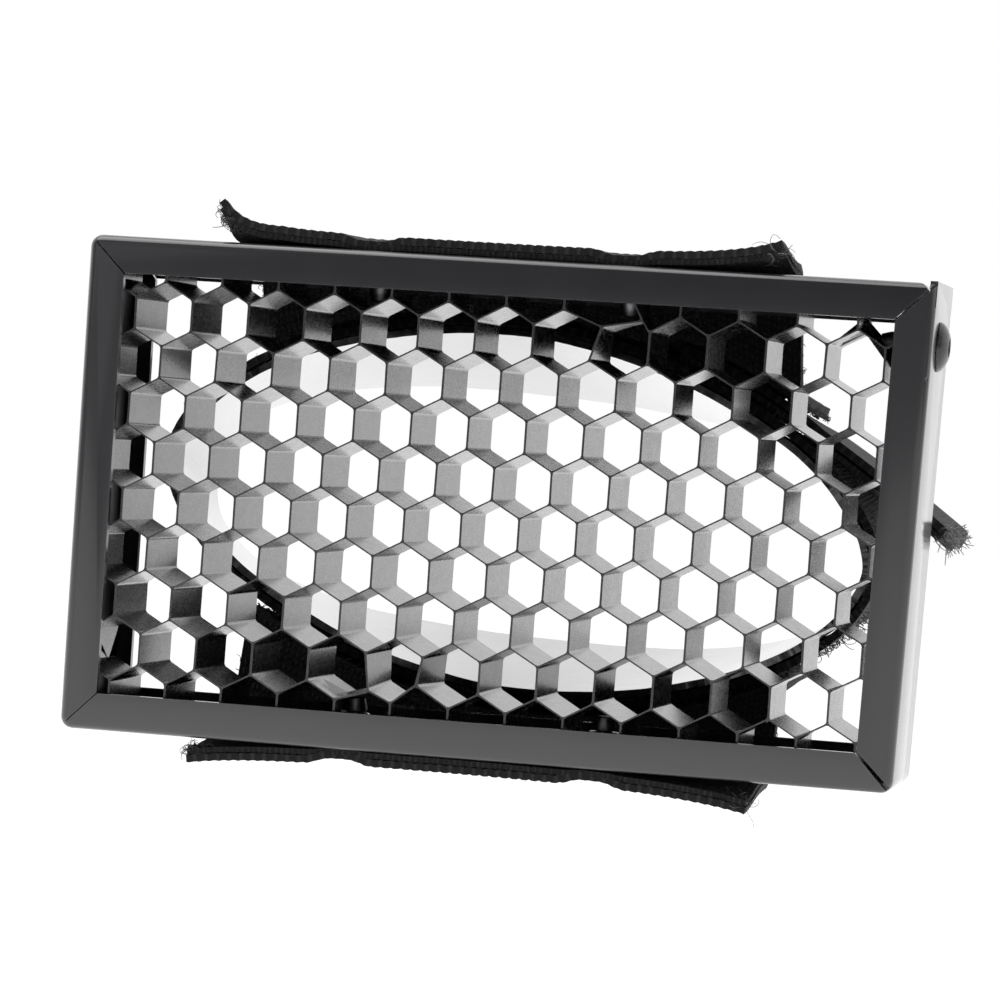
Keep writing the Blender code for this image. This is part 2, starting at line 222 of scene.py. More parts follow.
def soften_edges(obj: bpy.types.Object, width: float, angle: float = 35.0) -> None:
    """Breaks sharp edges with a small round, as paint and stamping leave them."""
    with editing(obj):
        bpy.ops.mesh.select_all(action="SELECT")
        bpy.ops.mesh.remove_doubles(threshold=0.01 * MM)
        bpy.ops.mesh.dissolve_limited(angle_limit=math.radians(0.5))
    apply_modifier(
        obj, "BEVEL", width=width, segments=2, limit_method="ANGLE", angle_limit=math.radians(angle),
        use_clamp_overlap=True, miter_outer="MITER_ARC",
    )


def turned(name: str, profile: list[tuple[float, float]], place: Matrix, steps: int = 32) -> bpy.types.Object:
    """A turned solid: one vertex of a plane is drawn along a profile and spun about local Z.

    Args:
        name: The piece's name.
        profile: (radius, height) points. It starts and ends on the axis, or else its ends are bridged by a bore.
        place: Where the local frame stands.
        steps: How many faces go round.

    Returns:
        The object, with its place in its mesh.
    """
    bpy.ops.object.select_all(action="DESELECT")
    bpy.ops.mesh.primitive_plane_add(size=MM)
    obj = bpy.context.active_object
    obj.name = obj.data.name = name
    corner = obj.data.vertices[0].co.copy()
    with editing(obj):
        pick(obj, Pick.VERT, lambda vert: vert.index != 0)
        bpy.ops.mesh.delete(type="VERT")
        bpy.ops.mesh.select_mode(type="VERT")
        bpy.ops.mesh.select_all(action="SELECT")
        points = [Vector((radius, 0, height)) for radius, height in profile]
        bpy.ops.transform.translate(value=points[0] - corner)
        for here, there in zip(points, points[1:]):
            bpy.ops.mesh.extrude_region_move(TRANSFORM_OT_translate={"value": there - here})
        bpy.ops.mesh.select_all(action="SELECT")
        bpy.ops.mesh.spin(steps=steps, angle=math.tau, center=(0, 0, 0), axis=(0, 0, 1))
        bpy.ops.mesh.select_all(action="SELECT")
        bpy.ops.mesh.remove_doubles(threshold=0.001 * MM)
        if pick(obj, Pick.EDGE, lambda edge: edge.is_boundary):
            bpy.ops.mesh.bridge_edge_loops()
    obj.matrix_world = place
    settle(obj)
    tidy_mesh(obj, smooth=30, merge=0.001 * MM)
    return obj


def cloth_grid(
    name: str, across: int, along: int, flat: tuple[float, float], place: Place, closed: bool = False
) -> bpy.types.Object:
    """A sheet of cloth laid out on a grid, with its UV map in millimetres of cloth.

    Args:
        name: The piece's name.
        across: Faces across the width.
        along: Faces along the length.
        flat: The cloth's width and length.
        place: The point for each share of the width and of the length.
        closed: Whether the two ends meet and are merged.

    Returns:
        The open, single-skin sheet.
    """
    bpy.ops.object.select_all(action="DESELECT")
    bpy.ops.mesh.primitive_grid_add(x_subdivisions=across, y_subdivisions=along, size=2)
    obj = bpy.context.active_object
    obj.name = obj.data.name = name
    for corner in obj.data.uv_layers.active.data:
        corner.uv = (corner.uv.x * flat[0] / MM, corner.uv.y * flat[1] / MM)
    for vert in obj.data.vertices:
        vert.co = place((vert.co.x + 1) / 2, (vert.co.y + 1) / 2)
    if closed:
        with editing(obj):
            bpy.ops.mesh.select_all(action="SELECT")
            bpy.ops.mesh.remove_doubles(threshold=0.01 * MM)
    return obj


def thicken(obj: bpy.types.Object, thickness: float) -> None:
    """Gives a single-skin sheet its thickness, half to each side, and smooths it."""
    apply_modifier(obj, "SOLIDIFY", thickness=thickness, offset=0.0, use_even_offset=True)
    tidy_mesh(obj, smooth=50, merge=0.001 * MM)


def threads(name: str, strands: list[list[Vector]], radius: float, tip: float = 0.6) -> bpy.types.Object:
    """Thin threads, each a four-sided tube along its own points that thins towards its tip.

    Args:
        name: The piece's name.
        strands: The points of each thread.
        radius: The thread's radius at its root.
        tip: The radius at the tip as a share of the root's.

    Returns:
        One mesh of all the threads.
    """
    curve = bpy.data.curves.new(name, "CURVE")
    curve.dimensions = "3D"
    curve.bevel_depth = radius
    curve.bevel_resolution = 0
    curve.resolution_u = 1
    curve.use_fill_caps = True
    for points in strands:
        spline = curve.splines.new("POLY")
        spline.points.add(len(points) - 1)
        for i, point in enumerate(points):
            spline.points[i].co = (*point, 1.0)
            spline.points[i].radius = 1 + (tip - 1) * i / (len(points) - 1)
    obj = bpy.data.objects.new(name, curve)
    bpy.context.scene.collection.objects.link(obj)
    activate(obj)
    bpy.ops.object.convert(target="MESH")
    obj = bpy.context.active_object
    with editing(obj):
        bpy.ops.mesh.select_all(action="SELECT")
        bpy.ops.mesh.normals_make_consistent(inside=False)
    activate(obj)
    bpy.ops.object.shade_smooth()
    return obj


def curl(
    rng: random.Random, root: Vector, way: Vector, length: float, bend: float, steps: int = 7
) -> list[Vector]:
    """The points of one curly thread.

    Args:
        rng: The seeded generator.
        root: Where it starts.
        way: The way it first points.
        length: Its length along the curl.
        bend: How far it turns from root to tip, in radians.
        steps: How many straight lengths it has.

    Returns:
        Its points, from root to tip.
    """
    way = Vector(way).normalized()
    axis = Vector([rng.gauss(0, 1) for _ in range(3)]).cross(way).normalized()
    points = [Vector(root)]
    for step in range(steps):
        points.append(points[-1] + way * length / steps)
        way = Matrix.Rotation(bend / steps * rng.uniform(0.6, 1.4), 3, axis) @ way
        way = (way + 0.10 * Vector([rng.gauss(0, 1) for _ in range(3)])).normalized()
    return points


# Finishes


class Graph:
    """A short way to add and join the nodes of one material or group."""

    def __init__(self, tree: bpy.types.NodeTree) -> None:
        """Holds the tree that is built."""
        self.tree = tree

    def add(self, kind: str, _out: int | str = 0, **inputs: object) -> bpy.types.NodeSocket:
        """Adds a node, sets or links its inputs and gives back one of its outputs.

        Args:
            kind: The node's type without its ShaderNode prefix.
            _out: The output to give back.
            **inputs: Values or sockets by input name with _ for a space, i0 and up for inputs by number, and
                the node's own settings by their name.

        Returns:
            The output socket.
        """
        node = self.tree.nodes.new("ShaderNode" + kind)
        for key, value in inputs.items():
            label = key.replace("_", " ")
            if key[0] == "i" and key[1:].isdigit():
                socket = node.inputs[int(key[1:])]
            elif label in node.inputs:
                socket = node.inputs[label]
            else:
                setattr(node, key, value)
                continue
            if isinstance(value, bpy.types.NodeSocket):
                self.tree.links.new(value, socket)
            else:
                socket.default_value = value
        return node.outputs[_out]

    def math(self, operation: str, *values: object) -> bpy.types.NodeSocket:
        """A Math node of one operation."""
        return self.add("Math", operation=operation, **{f"i{i}": value for i, value in enumerate(values)})

    def ramp(self, value: bpy.types.NodeSocket, low: float, high: float) -> bpy.types.NodeSocket:
        """0 below low, 1 above high, and a smooth rise between."""
        return self.add(
            "MapRange", interpolation_type="SMOOTHSTEP", Value=value, From_Min=low, From_Max=high
        )

    def mix(self, factor: object, first: object, second: object) -> bpy.types.NodeSocket:
        """A mix of two colours."""
        node = self.tree.nodes.new("ShaderNodeMix")
        node.data_type = "RGBA"
        for index, value in ((0, factor), (6, first), (7, second)):
            if isinstance(value, bpy.types.NodeSocket):
                self.tree.links.new(value, node.inputs[index])
            else:
                node.inputs[index].default_value = value if index == 0 else (*value, 1.0)
        return node.outputs[2]

    def stretched(self, vector: bpy.types.NodeSocket, scale: tuple[float, float, float]) -> bpy.types.NodeSocket:
        """Coordinates scaled along each axis."""
        return self.add("Mapping", Vector=vector, Scale=scale)

    def object_place(self) -> bpy.types.NodeSocket:
        """The piece's own coordinates."""
        return self.add("TexCoord", "Object")

    def cloth_place(self) -> bpy.types.NodeSocket:
        """The piece's cloth coordinates, in millimetres."""
        return self.add("TexCoord", "UV")

    def group(self, tree: bpy.types.NodeTree, out: str, **inputs: object) -> bpy.types.NodeSocket:
        """One of the shared effects, with its values for this material."""
        node = self.tree.nodes.new("ShaderNodeGroup")
        node.node_tree = tree
        for key, value in inputs.items():
            socket = node.inputs[key.replace("_", " ")]
            if isinstance(value, bpy.types.NodeSocket):
                self.tree.links.new(value, socket)
            else:
                socket.default_value = value
        return node.outputs[out]


def new_group(name: str, inputs: dict[str, tuple[str, float | None]], outputs: dict[str, str]) -> tuple:
    """An empty node group with its sockets.

    Args:
        name: The effect's name.
        inputs: Each input's socket type and starting value.
        outputs: Each output's socket type.

    Returns:
        The group, its graph, its input node and its output node.
    """
    tree = bpy.data.node_groups.new(name, "ShaderNodeTree")
    for label, (kind, value) in inputs.items():
        socket = tree.interface.new_socket(label, in_out="INPUT", socket_type=kind)
        if value is not None:
            socket.default_value = value
    for label, kind in outputs.items():
        tree.interface.new_socket(label, in_out="OUTPUT", socket_type=kind)
    return tree, Graph(tree), tree.nodes.new("NodeGroupInput"), tree.nodes.new("NodeGroupOutput")


class Effects:
    """The shader effects that several finishes share, each built once."""

    def __init__(self) -> None:
        """Builds every group."""
        self.grain = self._grain()
        self.speckle = self._speckle()
        self.weave = self._weave()
        self.edge = self._edge()

    @staticmethod
    def _grain() -> bpy.types.NodeTree:
        """Fine uneven relief, as paint, coated foil and cast metal have."""
        tree, graph, inside, outside = new_group(
            "grain",
            {"Vector": ("NodeSocketVector", None), "Scale": ("NodeSocketFloat", 1500.0),
             "Coarse": ("NodeSocketFloat", 0.3)},
            {"Height": "NodeSocketFloat"},
        )
        fine = graph.add("TexNoise", 0, Vector=inside.outputs["Vector"], Scale=inside.outputs["Scale"], Detail=2.0)
        broad_scale = graph.math("MULTIPLY", inside.outputs["Scale"], 0.12)
        broad = graph.add("TexNoise", 0, Vector=inside.outputs["Vector"], Scale=broad_scale, Detail=1.0)
        share = graph.math("MULTIPLY", broad, inside.outputs["Coarse"])
        tree.links.new(graph.math("ADD", fine, share), outside.inputs["Height"])
        return tree

    @staticmethod
    def _speckle() -> bpy.types.NodeTree:
        """Scattered light specks: dust and lint."""
        tree, graph, inside, outside = new_group(
            "speckle",
            {"Vector": ("NodeSocketVector", None), "Scale": ("NodeSocketFloat", 2500.0),
             "Cover": ("NodeSocketFloat", 0.1)},
            {"Mask": "NodeSocketFloat"},
        )
        cells = graph.add("TexVoronoi", "Distance", Vector=inside.outputs["Vector"], Scale=inside.outputs["Scale"])
        patches = graph.add(
            "TexNoise", 0, Vector=inside.outputs["Vector"],
            Scale=graph.math("MULTIPLY", inside.outputs["Scale"], 0.21), Detail=3.0,
        )
        near = graph.math("SUBTRACT", inside.outputs["Cover"], cells)
        near = graph.math("ADD", near, graph.math("MULTIPLY", graph.math("SUBTRACT", patches, 0.5), 0.6))
        tree.links.new(graph.ramp(near, 0.0, 0.08), outside.inputs["Mask"])
        return tree

    @staticmethod
    def _weave() -> bpy.types.NodeTree:
        """Plain weave: yarns that pass over and under each other, with a mask of the gaps between."""
        tree, graph, inside, outside = new_group(
            "weave",
            {"Vector": ("NodeSocketVector", None), "Yarn": ("NodeSocketFloat", 0.6)},
            {"Height": "NodeSocketFloat", "Gap": "NodeSocketFloat"},
        )
        apart = graph.add("SeparateXYZ", 0, Vector=inside.outputs["Vector"])
        split = apart.node
        u = graph.math("DIVIDE", split.outputs[0], inside.outputs["Yarn"])
        v = graph.math("DIVIDE", split.outputs[1], inside.outputs["Yarn"])
        humps = [graph.math("ABSOLUTE", graph.math("SINE", graph.math("MULTIPLY", t, math.pi))) for t in (u, v)]
        whole = graph.math("ADD", graph.math("FLOOR", u), graph.math("FLOOR", v))
        over = graph.math("ABSOLUTE", graph.math("MODULO", whole, 2.0))
        warp = graph.math("MULTIPLY", graph.math("POWER", humps[0], 0.5), graph.math("ADD", humps[1], 0.4))
        weft = graph.math("MULTIPLY", graph.math("POWER", humps[1], 0.5), graph.math("ADD", humps[0], 0.4))
        chosen = graph.math("MULTIPLY", over, warp)
        other = graph.math("MULTIPLY", graph.math("SUBTRACT", 1.0, over), weft)
        height = graph.math("ADD", chosen, other)
        tree.links.new(height, outside.inputs["Height"])
        tree.links.new(graph.math("SUBTRACT", 1.0, graph.ramp(height, 0.15, 0.7)), outside.inputs["Gap"])
        return tree

    @staticmethod
    def _edge() -> bpy.types.NodeTree:
        """A mask of the outer edges, where handling rubs a finish."""
        tree, graph, inside, outside = new_group(
            "edge_wear",
            {"Vector": ("NodeSocketVector", None), "Width": ("NodeSocketFloat", 0.0003)},
            {"Mask": "NodeSocketFloat"},
        )
        round_normal = graph.add("Bevel", 0, samples=4, Radius=inside.outputs["Width"])
        true_normal = graph.add("NewGeometry", "Normal")
        same = graph.add("VectorMath", "Value", operation="DOT_PRODUCT", i0=round_normal, i1=true_normal)
        bent = graph.ramp(graph.math("SUBTRACT", 1.0, same), 0.02, 0.25)
        patchy = graph.add("TexNoise", 0, Vector=inside.outputs["Vector"], Scale=900.0, Detail=3.0)
        tree.links.new(graph.math("MULTIPLY", bent, graph.ramp(patchy, 0.3, 0.65)), outside.inputs["Mask"])
        return tree


EFFECTS = Effects()


@dataclass(frozen=True)
class Finish:
    """A finish: its plain values, and how its surface detail is painted."""

    name: str
    colour: tuple[float, float, float]
    roughness: float
    detail: Callable[["Finish", Graph, bpy.types.ShaderNode], None]
    metallic: float = 0.0
    specular: float = 0.5
    coat: float = 0.0
    coat_roughness: float = 0.1
    sheen: float = 0.0
    accent: tuple[float, float, float] = (0.1, 0.1, 0.1)
    scale: float = 1500.0
    relief: float = 0.05 * MM

    def material(self) -> bpy.types.Material:
        """The finish's material, made once."""
        found = bpy.data.materials.get(self.name)
        if found:
            return found
        material = bpy.data.materials.new(self.name)
        material.use_nodes = True
        material.diffuse_color = (*self.colour, 1.0)
        shader = material.node_tree.nodes["Principled BSDF"]
        for label, value in (
            ("Base Color", (*self.colour, 1.0)), ("Roughness", self.roughness), ("Metallic", self.metallic),
            ("Specular IOR Level", self.specular), ("Coat Weight", self.coat),
            ("Coat Roughness", self.coat_roughness), ("Sheen Weight", self.sheen), ("Sheen Roughness", 0.4),
        ):
            shader.inputs[label].default_value = value
        self.detail(self, Graph(material.node_tree), shader)
        return material

    def bump(self, graph: Graph, shader: bpy.types.ShaderNode, height: bpy.types.NodeSocket) -> None:
        """Leads a height into the shader's normal, at the finish's own relief."""
        normal = graph.add("Bump", "Normal", Strength=1.0, Distance=self.relief, Height=height)
        graph.tree.links.new(normal, shader.inputs["Normal"])

    def paint(self, graph: Graph, shader: bpy.types.ShaderNode, label: str, value: bpy.types.NodeSocket) -> None:
        """Leads a value into one of the shader's sockets."""
        graph.tree.links.new(value, shader.inputs[label])


def painted_metal(finish: Finish, graph: Graph, shader: bpy.types.ShaderNode) -> None:
    """Satin paint: orange peel, rubbed edges and a few specks of dust."""
    place = graph.object_place()
    worn = graph.group(EFFECTS.edge, "Mask", Vector=place, Width=0.35 * MM)
    dust = graph.group(EFFECTS.speckle, "Mask", Vector=place, Scale=1400.0, Cover=-0.12)
    colour = graph.mix(graph.math("MULTIPLY", worn, 0.55), finish.colour, finish.accent)
    colour = graph.mix(graph.math("MULTIPLY", dust, 0.5), colour, (0.25, 0.25, 0.25))
    finish.paint(graph, shader, "Base Color", colour)
    cloudy = graph.add("TexNoise", 0, Vector=place, Scale=160.0, Detail=4.0)
    rough = graph.add("MapRange", Value=cloudy, To_Min=finish.roughness - 0.07, To_Max=finish.roughness + 0.08)
    finish.paint(graph, shader, "Roughness", rough)
    finish.bump(graph, shader, graph.group(EFFECTS.grain, "Height", Vector=place, Scale=finish.scale, Coarse=1.2))


def coated_foil(finish: Finish, graph: Graph, shader: bpy.types.ShaderNode) -> None:
    """Coated foil: faint drag lines along the depth, a fine pebbled sparkle and pale rims on the thin walls."""
    place = graph.object_place()
    drag = graph.add("TexNoise", 0, Vector=graph.stretched(place, (1300, 420, 1300)), Scale=1.0, Detail=2.0)
    pebble = graph.add("TexVoronoi", "Distance", Vector=place, Scale=3100.0, feature="SMOOTH_F1")
    sparkle = graph.group(EFFECTS.speckle, "Mask", Vector=place, Scale=4200.0, Cover=0.06)
    grain = graph.group(EFFECTS.grain, "Height", Vector=place, Scale=finish.scale, Coarse=0.5)
    worn = graph.group(EFFECTS.edge, "Mask", Vector=place, Width=0.12 * MM)
    colour = graph.mix(graph.math("MULTIPLY", sparkle, 0.55), finish.colour, finish.accent)
    colour = graph.mix(graph.math("MULTIPLY", worn, 0.8), colour, (0.16, 0.16, 0.16))
    finish.paint(graph, shader, "Base Color", colour)
    rough = graph.add("MapRange", Value=drag, To_Min=finish.roughness - 0.04, To_Max=finish.roughness + 0.06)
    finish.paint(graph, shader, "Roughness", rough)
    height = graph.math("ADD", graph.math("MULTIPLY", drag, 0.2), graph.math("MULTIPLY", pebble, 0.5))
    finish.bump(graph, shader, graph.math("ADD", height, grain))


def turned_metal(finish: Finish, graph: Graph, shader: bpy.types.ShaderNode) -> None:
    """Drawn or headed metal: a fine grain, with darker scuffs."""
    place = graph.object_place()
    scuff = graph.add("TexNoise", 0, Vector=place, Scale=900.0, Detail=4.0)
    colour = graph.mix(graph.ramp(scuff, 0.50, 0.75), finish.colour, finish.accent)
    finish.paint(graph, shader, "Base Color", colour)
    rough = graph.add("MapRange", Value=scuff, To_Min=finish.roughness - 0.08, To_Max=finish.roughness + 0.15)
    finish.paint(graph, shader, "Roughness", rough)
    finish.bump(graph, shader, graph.group(EFFECTS.grain, "Height", Vector=place, Scale=finish.scale, Coarse=0.8))


def woven_band(finish: Finish, graph: Graph, shader: bpy.types.ShaderNode) -> None:
    """Woven tape: over-and-under yarns with dark gaps, uneven dye and pale lint."""
    cloth = graph.cloth_place()
    place = graph.object_place()
    height = graph.group(EFFECTS.weave, "Height", Vector=cloth, Yarn=0.65)
    gap = graph.group(EFFECTS.weave, "Gap", Vector=cloth, Yarn=0.65)
    fibre = graph.add("TexNoise", 0, Vector=place, Scale=5200.0, Detail=3.0)
    lint = graph.group(EFFECTS.speckle, "Mask", Vector=place, Scale=1700.0, Cover=0.0)
    yarn = graph.mix(fibre, finish.colour, finish.accent)
    colour = graph.mix(graph.math("MULTIPLY", gap, 0.9), yarn, (0.006, 0.006, 0.007))
    colour = graph.mix(graph.math("MULTIPLY", lint, 0.45), colour, (0.22, 0.22, 0.23))
    finish.paint(graph, shader, "Base Color", colour)
    finish.bump(graph, shader, graph.math("ADD", height, graph.math("MULTIPLY", fibre, 0.5)))


def hook_backing(finish: Finish, graph: Graph, shader: bpy.types.ShaderNode) -> None:
    """Hook tape: a matt ground with a close pattern of hook stems and a little dust."""
    cloth = graph.cloth_place()
    place = graph.object_place()
    stems = graph.add("TexVoronoi", "Distance", Vector=cloth, Scale=1.6, Randomness=0.25)
    dots = graph.math("SUBTRACT", 1.0, graph.ramp(stems, 0.12, 0.4))
    fibre = graph.add("TexNoise", 0, Vector=place, Scale=4000.0, Detail=3.0)
    dust = graph.group(EFFECTS.speckle, "Mask", Vector=place, Scale=2200.0, Cover=-0.05)
    colour = graph.mix(graph.math("MULTIPLY", dots, fibre), finish.colour, finish.accent)
    colour = graph.mix(graph.math("MULTIPLY", dust, 0.4), colour, (0.2, 0.2, 0.2))
    finish.paint(graph, shader, "Base Color", colour)
    finish.bump(graph, shader, graph.math("ADD", dots, fibre))


def grip_surface(finish: Finish, graph: Graph, shader: bpy.types.ShaderNode) -> None:
    """Smooth grip lining: soft creases across the band and a satin, uneven gloss."""
    cloth = graph.cloth_place()
    crease = graph.add("TexNoise", 0, Vector=graph.stretched(cloth, (0.05, 0.55, 1.0)), Scale=1.0, Detail=3.0)
    ribs = graph.add("TexNoise", 0, Vector=graph.stretched(cloth, (3.2, 0.25, 1.0)), Scale=1.0, Detail=2.0)
    rough = graph.add("MapRange", Value=ribs, To_Min=finish.roughness - 0.05, To_Max=finish.roughness + 0.15)
    finish.paint(graph, shader, "Roughness", rough)
    across = graph.add("SeparateXYZ", 0, Vector=cloth).node.outputs[0]
    from_middle = graph.math("ABSOLUTE", graph.math("SUBTRACT", across, HeadStrap.width / MM / 2))
    sealed = graph.ramp(graph.math("SUBTRACT", from_middle, graph.math("MULTIPLY", ribs, 0.6)), 17.7, 17.9)
    colour = graph.mix(graph.ramp(ribs, 0.4, 0.7), finish.colour, finish.accent)
    finish.paint(graph, shader, "Base Color", graph.mix(sealed, colour, (0.004, 0.004, 0.004)))
    finish.bump(graph, shader, graph.math("ADD", graph.math("MULTIPLY", crease, 2.0), graph.math("MULTIPLY", ribs, 0.3)))


def spun_fibre(finish: Finish, graph: Graph, shader: bpy.types.ShaderNode) -> None:
    """Loose fibre: each thread a little lighter or darker along its run."""
    place = graph.object_place()
    tone = graph.add("TexNoise", 0, Vector=place, Scale=700.0, Detail=2.0)
    finish.paint(graph, shader, "Base Color", graph.mix(graph.ramp(tone, 0.35, 0.7), finish.colour, finish.accent))
    finish.bump(graph, shader, graph.group(EFFECTS.grain, "Height", Vector=place, Scale=finish.scale, Coarse=0.2))


FRAME_PAINT = Finish(
    "satin_black_paint", (0.017, 0.017, 0.020), 0.33, painted_metal, coat=1.0, coat_roughness=0.10,
    accent=(0.10, 0.10, 0.11), scale=2600.0, relief=0.006 * MM,
)
GRID_FOIL = Finish(
    "black_coated_foil", (0.024, 0.0235, 0.0235), 0.26, coated_foil, coat=0.5, coat_roughness=0.15,
    accent=(0.11, 0.11, 0.11), scale=5200.0, relief=0.010 * MM,
)
BRIGHT_RIVET = Finish(
    "bright_rivet_alloy", (0.80, 0.80, 0.82), 0.24, turned_metal, metallic=1.0,
    accent=(0.45, 0.45, 0.47), scale=2200.0, relief=0.010 * MM,
)
BLACK_RIVET = Finish(
    "black_rivet_paint", (0.020, 0.020, 0.022), 0.24, turned_metal,
    accent=(0.045, 0.045, 0.047), scale=1800.0, relief=0.02 * MM, coat=0.3,
)
STEM_STEEL = Finish(
    "rivet_stem_steel", (0.42, 0.42, 0.44), 0.36, turned_metal, metallic=1.0,
    accent=(0.15, 0.14, 0.13), scale=2600.0, relief=0.02 * MM,
)
WEBBING = Finish(
    "woven_webbing", (0.030, 0.030, 0.032), 0.85, woven_band, specular=0.3, sheen=0.15,
    accent=(0.085, 0.085, 0.088), relief=0.16 * MM,
)
HOOK_TAPE = Finish(
    "hook_tape_backing", (0.010, 0.010, 0.011), 0.78, hook_backing, specular=0.3, sheen=0.05,
    accent=(0.045, 0.045, 0.047), relief=0.12 * MM,
)
GRIP_LINING = Finish(
    "smooth_grip_lining", (0.040, 0.040, 0.043), 0.12, grip_surface, coat=1.0, coat_roughness=0.12, specular=0.8,
    accent=(0.060, 0.060, 0.064), relief=0.05 * MM,
)
BLACK_FIBRE = Finish(
    "loose_black_fibre", (0.018, 0.018, 0.019), 0.45, spun_fibre, sheen=0.2,
    accent=(0.070, 0.070, 0.073), scale=6000.0, relief=0.01 * MM,
)
# Loose yarn painted paler than the webbing's own yarn: partly the yarn's grey, partly painted highlights on the thin
# hairs.
FIBRE_WITH_PAINTED_HIGHLIGHT = Finish(
    "grey_fibre_painted_highlight", (0.070, 0.070, 0.073), 0.40, spun_fibre, sheen=0.25,
    accent=(0.240, 0.240, 0.245), scale=6000.0, relief=0.01 * MM,
)


def dress(
    obj: bpy.types.Object, finish: Finish, slot: str, nodes: tuple[str, ...] = (), body: str | None = None
) -> bpy.types.Object:
    """Gives a finished piece its material, CAD nodes and body, and reports it.

    Args:
        obj: The piece.
        finish: Its finish.
        slot: A material slot name. It is not used.
        nodes: The CAD nodes that it stands for.
        body: The CAD body that it moves with, or None to leave it unattached.

    Returns:
        The same piece.
    """
    obj.data.materials.clear()
    obj.data.materials.append(finish.material())
    if nodes:
        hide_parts(*nodes)
    if body:
        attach(obj, body)
    LOG.info("%s: %d faces, %s", obj.name, len(obj.data.polygons), finish.name)
    return obj


# Channel frame


@dataclass
class ChannelFrame:
    """The bent channel: walls, front and rear lips, open mitres and the lap joint at its upper right corner."""

    sheet: float = 0.8 * MM
    corner_round: float = 1.3 * MM
    lip_round: float = 1.0 * MM
    front_lip: float = 4.1 * MM
    rear_lip_long: float = 4.0 * MM
    rear_lip_short: float = 2.9 * MM
    lap_length: float = 13.0 * MM
    seam: float = 0.16 * MM
    open_seam: float = 0.50 * MM
    wall_end_rise: float = 0.22 * MM
    edge_break: float = 0.10 * MM
    hole_clearance: float = 0.25 * MM
    nick_radius: float = 0.45 * MM
    spring: float = 1.25 * MM

    def __post_init__(self) -> None:
        """Reads the channel's place from the frame."""
        self.low, self.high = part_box("frame_channel")
        self.high.x = -self.low.x
        self.front, self.back = self.low.y, self.high.y

    def sprung(self, point: Vector) -> Vector:
        """Where a point stands once the open corner has sprung: the right wall leans out at its top."""
        across = (point.x - self.low.x) / (self.high.x - self.low.x)
        up = (point.z - self.low.z) / (self.high.z - self.low.z)
        return point + X_AXIS * self.spring * max(across, 0.0) * min(max(up, 0.0), 1.0)

    def spring_open(self, obj: bpy.types.Object) -> None:
        """Moves a finished piece with the sprung corner."""
        for vert in obj.data.vertices:
            vert.co = self.sprung(vert.co)

    def rounded_block(self, name: str, inset: float, corner: float, lip: float, all_corners: bool) -> bpy.types.Object:
        """A box inside the channel's outline with its bends rounded.

        Args:
            name: The object's name.
            inset: How far its sides stand inside the channel's outline.
            corner: The radius of the bends along the depth.
            lip: The radius round the front and the back.
            all_corners: Whether the upper right corner is rounded as well.

        Returns:
            The block.
        """
        step = Vector((inset, inset, inset))
        obj = block(name, self.low + step, self.high - step)
        with editing(obj):
            pick(
                obj, Pick.EDGE,
                lambda edge: runs_along(edge, Y_AXIS)
                and (all_corners or edge.verts[0].co.x < 0 or edge.verts[0].co.z < 0),
            )
            bpy.ops.mesh.bevel(offset=corner, segments=5, profile=0.5, affect="EDGES")
            ends = (self.front + inset, self.back - inset)
            pick(
                obj, Pick.EDGE,
                lambda edge: any(all(abs(v.co.y - end) < 1e-7 for v in edge.verts) for end in ends)
                and len(edge.link_faces) == 2
                and any(abs(face.normal.y) > 0.9 for face in edge.link_faces)
                and not all(abs(face.normal.y) > 0.9 for face in edge.link_faces),
            )
            bpy.ops.mesh.bevel(offset=lip, segments=4, profile=0.5, affect="EDGES")
        return obj

    def window(self, name: str, side: float, top: float, front: float, back: float) -> bpy.types.Object:
        """The opening inside one pair of lips."""
        x, z = self.high.x - side, self.high.z - top
        return block(name, Vector((-x, front, -z)), Vector((x, back, z)))

    def mitre_slit(self, side: tuple[int, int], lip: tuple[float, float], inner: float, outer: float,
                   end: float, front: float, back: float) -> bpy.types.Object:
        """A wedge that cuts one mitre open.

        Args:
            side: Which corner, as the signs of X and Z.
            lip: How wide the lips are there, on the side wall and on the long wall.
            inner: The gap's width at the window's corner.
            outer: The gap's width towards the frame's corner.
            end: How far short of the frame's corner the gap stops.
            front: Where the cut starts along Y.
            back: Where it ends.

        Returns:
            The cutter.
        """
        corner = Vector((side[0] * self.high.x, 0, side[1] * self.high.z))
        window = Vector((side[0] * (self.high.x - lip[0]), 0, side[1] * (self.high.z - lip[1])))
        run = (corner - window).normalized()
        across = run.cross(Y_AXIS).normalized()
        start = window - run * 0.6 * MM
        stop = corner - run * end
        length = (stop - start).length
        obj = block("mitre_slit", Vector((0, front, -0.5)), Vector((length, back, 0.5)))
        with editing(obj):
            for at, width in ((0.0, inner), (length, outer)):
                pick(obj, Pick.VERT, lambda vert: abs(vert.co.x - at) < 1e-7)
                bpy.ops.transform.resize(value=(1, 1, width), center_override=(at, 0, 0))
        obj.matrix_world = Matrix.Translation(start) @ Matrix(
            ((run.x, 0, across.x), (run.y, 1, across.y), (run.z, 0, across.z))
        ).to_4x4()
        settle(obj)
        tidy_mesh(obj, smooth=None)
        return obj

    def corner_groove(self) -> bpy.types.Object:
        """The hollow between the top wall's bent end and the right wall's cut end."""
        right = self.high.x - self.sheet
        radius = self.corner_round
        obj = block(
            "corner_groove", Vector((right - radius, self.front - MM, self.high.z - radius)),
            Vector((right, self.back + MM, self.high.z + MM)),
        )
        centre = Vector((right - radius, (self.front + self.back) / 2, self.high.z - radius))
        combine(obj, rod("bend", centre, Y_AXIS, radius, 3 * (self.back - self.front), 40))
        return obj

